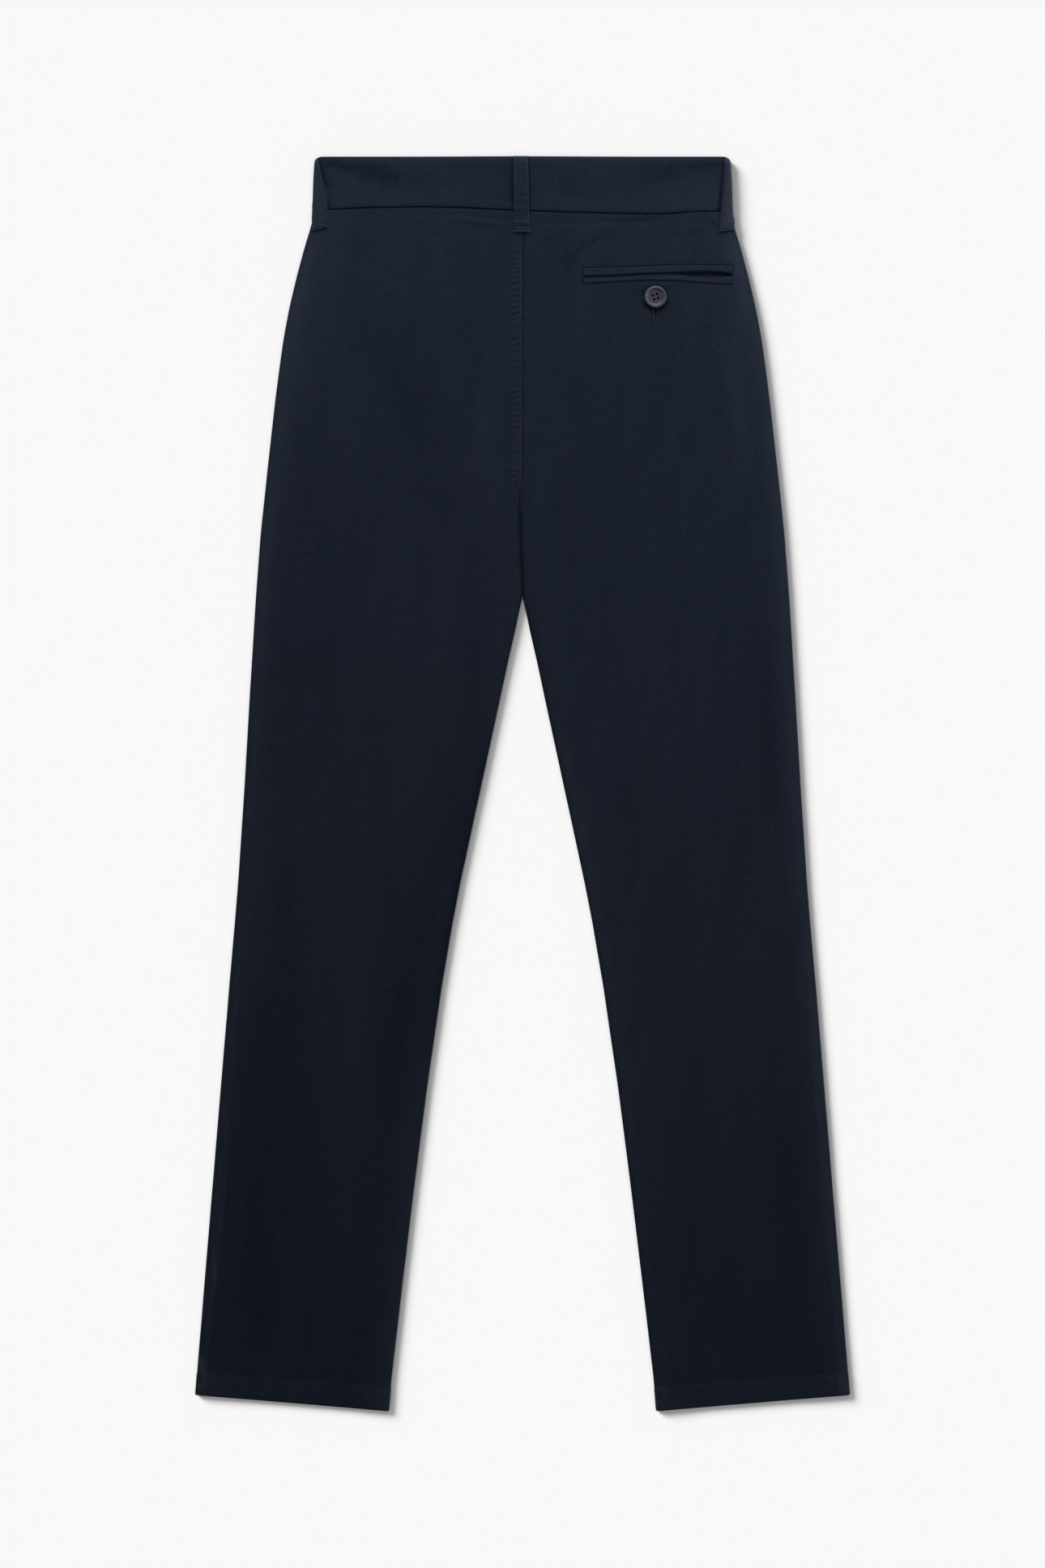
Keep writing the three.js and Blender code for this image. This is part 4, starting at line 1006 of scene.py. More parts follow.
class TROUSERS_OT_back_panels(bpy.types.Operator):
    """Builds the two back panels with the seat seam, the creases and the hems"""

    bl_idname = "trousers.back_panels"
    bl_label = "Back panels"

    def execute(self, context):
        for side, label in ((-1, "left"), (1, "right")):
            cloth = back_cloth(side)
            keep = None
            if side > 0:
                keep = in_pocket(side * cloth.u, cloth.real, -1.6) < 0.5
            cloth_piece(
                f"back_{label}", cloth, in_mm(sizes().panel_thickness), finish_of("navy twill"),
                f"back_panel_{label}", keep, 1000.0 * side,
            )
        return {"FINISHED"}


# Front panels and the facings of the front pockets

def front_inside(side, down):
    """Inner edge of a front panel: the fly, the centre seam, and the inseam below the crotch."""
    centre = inside_at(side, down)
    turned = np.clip((down - CROTCH_START) / (CROTCH_END - CROTCH_START), 0, 1)
    below = centre + mix(INSIDE_TURN / 2, INSIDE_TURN, turned) + SEAM_GAP
    lap = -FLY_LAP if side < 0 else -FLY_UNDERLAP
    above = mix(lap, centre, smooth(down, FLY_END - FLY_FADE, FLY_END))
    return np.where(down > CROTCH_START, below, above)


def front_outside(down):
    """Outer edge of a front panel: the slanted mouth of the pocket, then the side seam."""
    seam = side_at(down) - SIDE_TURN - SEAM_GAP
    share = (down - FRONT_SEAM_DOWN) / (SLANT["down"] - FRONT_SEAM_DOWN)
    return np.where(down > SLANT["down"], seam, mix(SLANT["waist"], SLANT["side"], share))


def front_cloth(side):
    """Outer face of a front panel, level on the surface and lifted at the waist and under the fly lap."""
    down = np.unique(np.concatenate([
        np.arange(FRONT_SEAM_DOWN + SEAM_GAP / 2, 290, 2.2), [SLANT["down"], SLANT["down"] + 0.6],
        np.arange(290, 1000, 6.0), np.arange(1000, LENGTH, 2.0), [LENGTH],
    ]))[:, None]
    shares = np.unique(np.concatenate([np.linspace(0, 0.12, 9), np.linspace(0.12, 1, 36)]))[None, :]
    u = mix(front_inside(side, down), front_outside(down), shares)
    x = side * u
    lap = (1.0 + SEAM_GAP) * smooth(-x, -22, -5) * (1
        - smooth(down, FLY_END, FLY_END + FLY_FADE)) * (side > 0)
    label = np.broadcast_to(down, u.shape)
    cloth = Cloth(side, u, front_rise(x, label) + lap, leg_y(side, u, label, label), label, -1.0)
    stitched = bell(front_outside(label) - u - 6.5, 0.8) * (label < SLANT["down"])
    cloth.raise_by(-0.12 * stitched - 0.1 * bell(label - (LENGTH - HEM_DEPTH), 0.9))
    cloth.wear_and_painted_light = 0.2 * bell(LENGTH - label, 2.5) + 0.2 * bell(front_outside(label) - u,
        1.5) * (label < SLANT["down"])
    return cloth


def facing_cloth(side):
    """Outer face of the facing behind a slanted front pocket."""
    down = np.linspace(FRONT_SEAM_DOWN + SEAM_GAP / 2, SLANT["down"] + 8, 60)[:, None]
    u = mix(front_outside(np.minimum(down, SLANT["down"])) - 18, side_at(down) - SIDE_TURN + 6,
        np.linspace(0, 1, 24)[None, :])
    label = np.broadcast_to(down, u.shape)
    return Cloth(side, u, front_rise(side * u, label) + 1.0 + SEAM_GAP, y_at(label), label, -1.0)


class TROUSERS_OT_front_panels(bpy.types.Operator):
    """Builds the two front panels and the facings of the front pockets"""

    bl_idname = "trousers.front_panels"
    bl_label = "Front panels"

    def execute(self, context):
        for side, label in ((-1, "left"), (1, "right")):
            thickness = in_mm(sizes().panel_thickness)
            cloth = front_cloth(side)
            cloth_piece(f"front_{label}", cloth, thickness, finish_of("navy twill"), f"front_panel_{label}",
                        grain=300.0 * side)
            cloth = facing_cloth(side)
            cloth_piece(f"front_facing_{label}", cloth, thickness, finish_of("navy twill"),
                        f"front_pocket_facing_{label}", None, 70.0 * side)
        return {"FINISHED"}


# Waistband

def corner_drop(u, edge):
    """How far the waist's edge falls where it turns round the side: a quarter of an ellipse."""
    share = np.clip((u - edge + CORNER["width"]) / CORNER["width"], 0, 1)
    return CORNER["fall"] * (1 - np.sqrt(1 - share**2))


def band_section(side, down):
    """Section of a waistband half at each level, from the centre back round the side to the centre front."""
    down = np.asarray(down, float)[:, None]
    inside = inside_at(side, 0 * down)
    edge = read(OUTLINE, "side", down, soft=4)
    side_top = edge - SIDE_SHOULDER
    top_u = mix(inside, side_top, np.linspace(0, 1, BAND_COLUMNS)[None, :-1])
    top_z = band_height(top_u, down)
    fold_u, fold_z = fold_section(edge, 1, band_height(side_top, down), band_rise(side * edge), SIDE_SHOULDER,
                                  SIDE_TURN, SIDE_ALONG[None, :])
    end = -FLY_LAP if side < 0 else -BAND_UNDERLAP
    under_u = mix(edge - SIDE_TURN, end, np.linspace(0, 1, 60)[None, 1:])
    lap = (BAND_WALL + SEAM_GAP) * smooth(-under_u, -24, -6) * (side > 0)
    under_z = band_rise(side * under_u) + lap
    return np.hstack([top_u, fold_u, under_u]), np.hstack([top_z, fold_z, under_z])


def band_over(columns_before, total):
    """1 on top, 0 underneath, and a straight change round the side fold."""
    over = np.zeros(total)
    over[:columns_before] = 1
    over[columns_before:columns_before + len(SIDE_ALONG)] = 1 - np.clip(SIDE_ALONG / 2, 0, 1)
    return over


BAND_FOLDS = rows_of(
    FOLD_COLUMNS,
    (-166, 6, -140, 12, 4.5, -0.8), (-140, 12, -104, 22, 7.5, -0.9), (-104, 22, -78, 25, 9, -0.45),
    (165, 8, 134, 12, 5, -0.75), (134, 12, 100, 20, 8, -0.85), (100, 20, 70, 23, 9, -0.4),
    (-158, 26, -128, 35, 8, 0.45), (-120, 10, -90, 8, 6, 0.25), (156, 25, 112, 35, 9, 0.5),
    (-60, 12, -20, 14, 8, -0.25), (24, 20, 70, 26, 9, 0.2), (-90, 34, -40, 31, 8, 0.2),
    (-169, 5, -160.5, 26, 2.4, -0.8), (-160.5, 26, -159.5, 44, 1.8, -0.4), (165.6, 3, 162.6, 44, 1.8, -0.42),
    (-14, 20, -60, 26, 6, -0.22), (12, 30, 48, 33, 5, -0.2),
)


def band_relief(side, u, down, seam, over):
    """The waistband's turned edges are rounded, and soft folds run in from its corners."""
    x = side * u
    top_edge = np.clip((1.6 - down) / 1.6, 0, 1)
    seam_edge = np.clip((1.0 - (seam - down)) / 1.0, 0, 1)
    relief = -0.8 * (1 - np.sqrt(np.clip(1 - top_edge**2, 0, 1))) - 0.6 * (1
        - np.sqrt(np.clip(1 - seam_edge**2, 0, 1)))
    fullness = 0.20 * bell(seam - down - 3, 2.6) + 0.12 * smooth(-down, -8.6, -7.8)
    eased = 0.10 * np.sin(2 * np.pi * x / 4.6 + np.sin(x / 9)) * smooth(waves(x, down * 0, 77, 8, 60), 0,
        1) * bell(seam - down - 2.5, 3)
    ripple = 0.03 * waves(x, down, 12, 7, 60)
    return relief + over * (fullness + ripple + eased + lines_relief(BAND_FOLDS, x, down))


def band_cloth(side):
    """Outer face of a waistband half."""
    share = np.unique(np.concatenate([np.linspace(0, 0.045, 8), np.linspace(0.045, 0.95, 40),
        np.linspace(0.95, 1, 8)]))
    label = mix(FRONT_SEAM_DOWN, 0, share)[::-1]
    share = share[::-1][:, None]
    u, z = band_section(side, label)
    over = np.broadcast_to(band_over(BAND_COLUMNS - 1, u.shape[1]), u.shape)
    seam = seam_down(side, u, over) - SEAM_GAP / 2
    down = mix(seam, corner_drop(u, read(OUTLINE, "side", label, soft=4)[:, None]), share)
    cloth = Cloth(side, u, z, y_at(down), down)
    cloth.raise_by(band_relief(side, u, down, seam, over))
    broken = 0.5 + 0.5 * smooth(waves(side * u, down * 0, 61, 6, 50), -0.6, 0.9)
    # Broken stretches of wear at the top edge, a faint painted highlight on the rounded edge above the seam, and
    # painted shade in the seam.
    cloth.wear_and_painted_light = 0.22 * bell(down, 2.2) * broken + 0.07 * bell(seam - down, 1.5) * broken
    cloth.wear_and_painted_light = cloth.wear_and_painted_light + 0.02 * waves(side * u, down, 17, 12, 80) - 0.24 * bell(seam - down, 0.7)
    # Painted light low on the band towards the sides, and painted shade along its rounded top edge.
    corners = smooth(u, 95, 150) * (1 if side > 0 else 0.6)
    cloth.wear_and_painted_light = cloth.wear_and_painted_light - 0.30 * bell(down - 0.2, 0.9) + 0.16 * over * corners * bell(down - 36, 9)
    cloth.wear_and_painted_light = cloth.wear_and_painted_light + over * lines_relief(BAND_PAINTED_SHADE, side * u, down)
    return cloth


class TROUSERS_OT_waistband(bpy.types.Operator):
    """Builds the two halves of the waistband"""

    bl_idname = "trousers.waistband"
    bl_label = "Waistband"

    def execute(self, context):
        for side, label in ((-1, "left"), (1, "right")):
            cloth = band_cloth(side)
            cloth_piece(
                f"waistband_{label}_half", cloth, in_mm(sizes().band_thickness), finish_of("waistband twill"),
                f"waistband_{label}", None, 40.0 * side,
            )
        return {"FINISHED"}


# Belt loops

LOOP_STAND = rows_of(
    "down arch", (0, 0), (0.8, 0), (5, 0.2), (14, 0.8), (25, 1), (31.5, 0.9), (38, 0.7), (46, 0.2), (52, 0),
        (62, 0),
)


def loop_rows():
    """Levels along a loop: its upper end, turned in at the waistband's edge, its length and its lower end."""
    turn = np.linspace(0, np.pi / 2, 7)
    body = np.arange(2.5, LOOP_END - 1.2, 0.8)
    down = np.concatenate([1.2 * (1 - np.cos(turn)), body, LOOP_END - 1.2 * (1 - np.sin(turn))])
    lift = np.concatenate([0.9 * (np.sin(turn) - 1), 0 * body, 1.0 * (np.cos(turn) - 1)])
    return down, LOOP_RISE + lift


def loop_cloth(side, base, arch, way=1.0, turned_end=0.5, seed=3, pale=0.0):
    """Outer face of a belt loop. base gives the points and normals it lies on, across the loop at each level."""
    down, lift = loop_rows()
    width = np.linspace(-1, 1, 23)[None, :]
    x, z, nx, nz, y = base(down, (width[0] + 1) / 2)
    label = np.broadcast_to(down[:, None], x.shape)
    half = LOOP_WIDTH / 2
    rim = np.clip((np.abs(width) * half - (half - 0.9)) / 0.9, 0, 1)
    profile = -0.75 * (1 - np.sqrt(np.clip(1 - rim**2, 0, 1)))
    stitched = -0.16 * bell(np.abs(width) * half - (half - 2.0), 0.5)
    fullness = 0.14 * bell(np.abs(width) * half - (half - 1.0), 0.5) + 0.10 * bell(width * half, 2.6)
    ripple = 0.10 * np.sin(2 * np.pi * down / 6.4 + seed)[:, None] + 0.07 * waves(width * half, label, seed,
        4, 20)
    ripple = ripple * (1 if arch > 0 else 0.3)
    on = (smooth(down, 1.5, 5) * (1 - smooth(down, LOOP_END - 4, LOOP_END - 2)))[:, None]
    doubled = turned_end * smooth(down, LOOP_END - 8.5, LOOP_END - 7)[:, None]
    tack = -0.35 * bell(down - (LOOP_END - 3), 1.1)[:, None]
    offset = lift[:, None] + (np.interp(down, LOOP_STAND["down"], LOOP_STAND["arch"]) * arch)[:, None]
    offset = offset + profile + on * (stitched + fullness + ripple) * (arch > 0
        or way > 0) + doubled + tack * (turned_end > 0)
    points = np.stack([x + offset * nx, y_at(y + 0 * x), z + offset * nz], axis=2)
    cloth = Cloth(side, side * points[:, :, 0], points[:, :, 2], points[:, :, 1], label, way)
    # Paler along the edges; painted highlights at the upper end and, by pale, on the side loops' faces; a paler
    # turned end with a painted shade line above it; painted shade at the lower end and along the sides.
    edges = bell(np.abs(width) * half - (half - 0.5), 0.8)
    cloth.wear_and_painted_light = 0.30 * edges + 0.45 * bell(label, 3.2) + 0.10 * smooth(label, LOOP_END - 8.5, LOOP_END - 7)
    cloth.wear_and_painted_light = cloth.wear_and_painted_light - 0.35 * bell(label - (LOOP_END - 5.4), 0.9) + pale * smooth(width, -1.0, -0.3)
    cloth.wear_and_painted_light = cloth.wear_and_painted_light + pale * (smooth(width, 0.1, 0.9) + bell(label, 4)) * (1 - smooth(label, 30, 46))
    cloth.wear_and_painted_light = cloth.wear_and_painted_light - 0.5 * bell(label - LOOP_END, 0.9) - 0.4 * bell((1 - np.abs(width)) * half, 0.35)
    return cloth


def centre_base(down, across):
    """The middle of the back: the waistband, then the panels."""
    middle = mix(-1.6, -0.4, down / LOOP_END)[:, None]
    x = middle + (across[None, :] - 0.5) * LOOP_WIDTH
    level = down[:, None]
    band, panel = band_height(x, level), panel_height(1, np.abs(x), level)
    z = mix(band, panel, smooth(level, FRONT_SEAM_DOWN + 1, FRONT_SEAM_DOWN + 6))
    return x, z, 0 * x, 0 * x + 1, level


def front_base(side):
    """The underside of the waistband and of the front panel."""
    def base(down, across):
        x = side * (FRONT_LOOP_X + (across[None, :] - 0.5) * LOOP_WIDTH) + 0 * down[:, None]
        return x, 0 * x + LOOP_RISE, 0 * x, 0 * x - 1, down[:, None]
    return base


def side_base(side, edges, slant):
    """The side fold of the waistband and of the back panel, along its section from the loop's inner edge.
    slant gives how much lower the loop's end is at its inner and at its outer edge."""
    def base(down, across):
        dense = np.linspace(0, 3, 90)
        edge = read(OUTLINE, "side", down, soft=2)[:, None]
        high = mix(band_height(edge - SIDE_SHOULDER, down[:, None]),
            panel_height(side, edge - SIDE_SHOULDER, down[:, None]),
                   smooth(down, 44, 50)[:, None])
        fold_u, fold_z = fold_section(edge, 1, high, band_rise(side * edge), SIDE_SHOULDER, SIDE_TURN,
            dense[None, :])
        u = np.hstack([edge - SIDE_SHOULDER - 8, fold_u])
        z = np.hstack([high, fold_z])
        steps = np.hypot(np.diff(u, axis=1), np.diff(z, axis=1))
        lengths = np.hstack([0 * edge, np.cumsum(steps, axis=1)])
        start = read(edges, "x", down, soft=3) - u[:, 0]
        at = start[:, None] + across[None, :] * LOOP_WIDTH
        around_u, around_z = at_lengths(lengths, u, at), at_lengths(lengths, z, at)
        before = (at_lengths(lengths, u, at - 0.6), at_lengths(lengths, z, at - 0.6))
        after = (at_lengths(lengths, u, at + 0.6), at_lengths(lengths, z, at + 0.6))
        tangent_u, tangent_z = after[0] - before[0], after[1] - before[1]
        size = np.hypot(tangent_u, tangent_z)
        level = down[:, None] + corner_drop(around_u, edge) * (1 - smooth(down, 0, 14))[:, None]
        level = level + mix(slant[0], slant[1], across[None, :]) * smooth(down, 30, 58)[:, None]
        return side * around_u, around_z, -side * tangent_z / size, tangent_u / size, level
    return base


class TROUSERS_OT_belt_loops(bpy.types.Operator):
    """Builds the five belt loops"""

    bl_idname = "trousers.belt_loops"
    bl_label = "Belt loops"

    def execute(self, context):
        # The last figure of each side loop is the strength of its painted highlight.
        loops = [
            ("loop_centre_back", "belt_loop_centre_back", loop_cloth(1, centre_base, LOOP_ARCH)),
            ("loop_side_left", "belt_loop_side_left",
                loop_cloth(-1, side_base(-1, LEFT_LOOP_EDGE, (-2.4, 0.8)), 0, 1.0, 0.0, 5, 0.28)),
            ("loop_side_right", "belt_loop_side_right",
                loop_cloth(1, side_base(1, RIGHT_LOOP_EDGE, (1.7, -0.6)), 0, 1.0, 0.0, 8, 0.50)),
            ("loop_front_left", "belt_loop_front_left", loop_cloth(-1, front_base(-1), 0, -1.0, 0.0, 11)),
            ("loop_front_right", "belt_loop_front_right", loop_cloth(1, front_base(1), 0, -1.0, 0.0, 14)),
        ]
        for name, node, cloth in loops:
            cloth_piece(name, cloth, in_mm(sizes().loop_thickness), finish_of("trim twill"), node,
                        None, 5.0)
        return {"FINISHED"}


# Back pocket

def pocket_cloth(x, down, offset):
    """Outer face of a piece that lies on the right back panel, moved out by an offset."""
    relief = in_mm(sizes().ripple) * 0.25 * waves(x, 0.35 * down, 5, 18, 120)
    z = panel_height(1, x, down) + relief + offset
    return Cloth(1, x, z, y_at(down), down)


def welt_cloth(seam_column, lip_column, seed):
    """A welt: flat from its seam, full at the lip and rolled over it, with small puckers along the seam."""
    x = np.linspace(49.9, 173.5, 200)[None, :]
    seam, lip = (read(POCKET, column, x, "x", soft=6) for column in (seam_column, lip_column))
    way = np.sign(lip - seam)
    share = np.concatenate([np.linspace(0, 0.3, 7), np.linspace(0.3, 1, 8)[1:]])[:, None]
    roll = np.linspace(0, np.pi / 2, 8)[1:, None]
    down = np.vstack([mix(seam + 0.15 * way, lip - 1.1 * way, share), lip - way * 1.1 * (1 - np.sin(roll))])
    end = np.clip(1 - np.minimum(x - 49.9, 173.5 - x) / 0.7, 0, 1)
    ends = -0.4 * (1 - np.sqrt(np.clip(1 - end**2, 0, 1)))
    flat = -0.45 + 0.9 * np.sin(np.clip(share * 4.5, 0, 1) * np.pi / 2) + 0.12 * np.sin(np.pi * share)
    flat = flat + 0.06 * np.sin(2 * np.pi * x / 6.3 + seed + 0.8 * np.sin(x / 11)) * bell(share - 0.25, 0.3)
    rolled = flat[-1:] - 1.0 * (1 - np.cos(roll))
    offset = np.vstack([flat, rolled]) + ends
    down, offset = down + 0 * x, offset + 0 * x
    if way[0, 0] < 0:
        down, offset = down[::-1], offset[::-1]
    cloth = pocket_cloth(x + 0 * down, down, offset)
    # Painted highlight along the welt's fullness near the lip, painted shade along its seam, and dark painted
    # shade at the lip, less where the slit opens wide.
    seam_shade = 0.32 if way[0, 0] > 0 else 0.1
    cloth.wear_and_painted_light = 0.12 * bell(down - lip + 2.2 * way, 1.2) + 0.03 - seam_shade * bell(down - seam, 0.8)
    open_slit = smooth(x, 116, 134) * (1 if way[0, 0] < 0 else 0)
    cloth.wear_and_painted_light = cloth.wear_and_painted_light - (1.3 - 0.9 * open_slit) * bell(down - lip, 1.0)
    return cloth


def facing_behind():
    """The facing behind the slit, darkened all over as painted shade, less towards the slit's wide right end."""
    x = np.linspace(47, 176.5, 80)[None, :]
    down = np.linspace(86, 124, 30)[:, None]
    x, down = x + 0 * down, down + 0 * x
    cloth = Cloth(1, x, panel_height(1, x, down) - 1.4 - 0.8 * smooth(x, 118, 132), y_at(down), down)
    cloth.wear_and_painted_light = cloth.wear_and_painted_light - 0.45 + 0.35 * smooth(x, 118, 132)
    return cloth


class TROUSERS_OT_back_pocket(bpy.types.Operator):
    """Builds the welts and the facing of the back pocket"""

    bl_idname = "trousers.back_pocket"
    bl_label = "Back pocket"

    def execute(self, context):
        pieces = [
            ("pocket_upper_welt", "back_pocket_upper_welt", "trim_twill", "trim twill",
                welt_cloth("top", "upper_lip", 1), 0.9),
            ("pocket_lower_welt", "back_pocket_lower_welt", "trim_twill", "trim twill",
                welt_cloth("bottom", "lower_lip", 4), 0.9),
            ("pocket_facing", "back_pocket_facing", "twill", "navy twill", facing_behind(), 0.7),
        ]
        for name, node, slot, finish, cloth, thickness in pieces:
            cloth_piece(name, cloth, thickness, finish_of(finish), node, None,
                7.0)
        return {"FINISHED"}


# Buttons

def button_piece(name, node, button, base, facing):
    """A button: a profile turned round its axis, with a raised rim and a dished middle. Its four holes are
    round pits in the turned surface."""
    radius, height = button["radius"], button["height"]
    profile = rows_of("r z", (0, 0.60), (0.55, 0.62), (0.62, 0.66), (0.67, 0.74), (0.74, 0.86), (0.80, 0.96),
                      (0.86, 1.0), (0.92, 0.97), (0.97, 0.86), (1.0, 0.66), (1.0, 0.24), (0.96, 0.08),
                          (0.88, 0))
    steps = np.concatenate([[0], np.cumsum(np.hypot(np.diff(profile["r"]) * radius,
        np.diff(profile["z"]) * height))])
    place = np.concatenate([np.linspace(0, steps[1], 70), np.linspace(steps[1], steps[-1], 44)[1:]])
    soft = np.array([-0.16, -0.08, 0, 0.08, 0.16])
    r = np.mean([np.interp(np.clip(place + s, 0, steps[-1]), steps, profile["r"]) for s in soft], axis=0)
    z = np.mean([np.interp(np.clip(place + s, 0, steps[-1]), steps, profile["z"]) for s in soft], axis=0)
    r[0] = 0.004
    angle = np.linspace(0, 2 * np.pi, 181)[:-1]
    x, y = radius * r[:, None] * np.cos(angle), radius * r[:, None] * np.sin(angle)
    pits_and_shade = np.zeros(x.shape)
    for quarter in range(4):
        at = np.radians(button["turn"] + 45 + 90 * quarter)
        far = np.hypot(x - 0.27 * radius * np.cos(at), y - 0.27 * radius * np.sin(at))
        pits_and_shade = np.maximum(pits_and_shade, 1 - smooth(far, 0.100 * radius, 0.125 * radius))
    pits_and_shade = pits_and_shade * (r[:, None] < 0.6)
    high = z[:, None] * height - pits_and_shade * 0.56 * height
    points = np.stack([x, y, high], axis=2).reshape(-1, 3)
    rows, columns = x.shape
    index = np.arange(rows * columns).reshape(rows, columns)
    index = np.hstack([index, index[:, :1]])
    faces = np.stack([index[:-1, :-1], index[1:, :-1], index[1:, 1:], index[:-1, 1:]], axis=2).reshape(-1, 4)
    caps = [(index[0, 2 * k], index[0, 2 * k + 1], index[0, 2 * k + 2], index[0, 0])
        for k in range(1, columns // 2 - 1)]
    under = [(index[-1, 0], index[-1, 2 * k + 2], index[-1, 2 * k + 1], index[-1, 2 * k])
        for k in range(1, columns // 2 - 1)]
    faces = np.concatenate([faces, caps, under])
    if facing < 0:
        points = points * (1, -1, -1)
    points = points + np.array(base)
    # Painted shade for the colour: a darker middle, painted shade in the groove of the raised ring, painted shade
    # on the right of the rim as from a light on the left, and near-black painted shade in the holes.
    upper = high > 0.3 * height
    shade = np.maximum(0.36 * (1 - smooth(r, 0.55, 0.68)), 0.75 * bell(r - 0.67, 0.045))[:, None] * upper
    shade = shade + 0.30 * smooth(r, 0.7, 0.8)[:, None] * smooth((x - 0.3 * y) / radius, -0.1, 0.6) * upper
    shade = np.maximum(pits_and_shade, shade)
    piece = new_mesh(name, points, faces, attributes=[("pits_and_shade", shade.ravel())])
    piece.data.materials.append(finish_of("navy plastic"))
    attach(piece, "root")
    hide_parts(node)
    return piece


class TROUSERS_OT_buttons(bpy.types.Operator):
    """Builds the pocket button and the waist button, and gives the pocket button's thread its material"""

    bl_idname = "trousers.buttons"
    bl_label = "Buttons"

    def execute(self, context):
        at = POCKET_BUTTON
        top = float(panel_height(1, np.array(at["x"]), np.array(at["down"])))
        button_piece("pocket_button", "back_pocket_button", at, (at["x"], y_at(at["down"]), top + 0.6), 1)
        at = WAIST_BUTTON
        button_piece("waistband_button", "waist_button", at, (at["x"], y_at(at["down"]), at["height"]), -1)
        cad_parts["back_pocket_button_thread"].data.materials.clear()
        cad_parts["back_pocket_button_thread"].data.materials.append(finish_of("navy thread"))
        return {"FINISHED"}


# Stitching

def across_back(cloth, xs, downs, lift=0.05):
    """Points lifted off a cloth at these places, with the cloth's normals there."""
    points, normals = cloth.at(xs, downs)
    return points + lift * normals, normals


def row_path(cloth, down):
    """The grid's own row at a level, as points and normals from one edge round to the other."""
    middle = cloth.down[:, cloth.down.shape[1] // 2]
    row = float(np.interp(down, middle, np.arange(len(middle))))
    low, share = min(int(row), len(middle) - 2), row - int(row)
    return mix(cloth.points[low], cloth.points[low + 1], share), mix(cloth.normals[low],
        cloth.normals[low + 1], share)


def bar_tack(points, normals, width, pitch=0.36):
    """A dense row of short stitches across a path, as a bar tack."""
    steps = np.linalg.norm(np.diff(points, axis=0), axis=1)
    lengths = np.concatenate([[0], np.cumsum(steps)])
    place = np.arange(0, lengths[-1], pitch)
    at = np.stack([np.interp(place, lengths, points[:, k]) for k in range(3)], axis=1)
    up = np.stack([np.interp(place, lengths, normals[:, k]) for k in range(3)], axis=1)
    along = np.gradient(at, axis=0)
    across = np.cross(up, along)
    across = across / np.linalg.norm(across, axis=1, keepdims=True)
    lean = along / np.linalg.norm(along, axis=1, keepdims=True) * 0.12
    return at - across * width / 2 - lean, at + across * width / 2 + lean, up


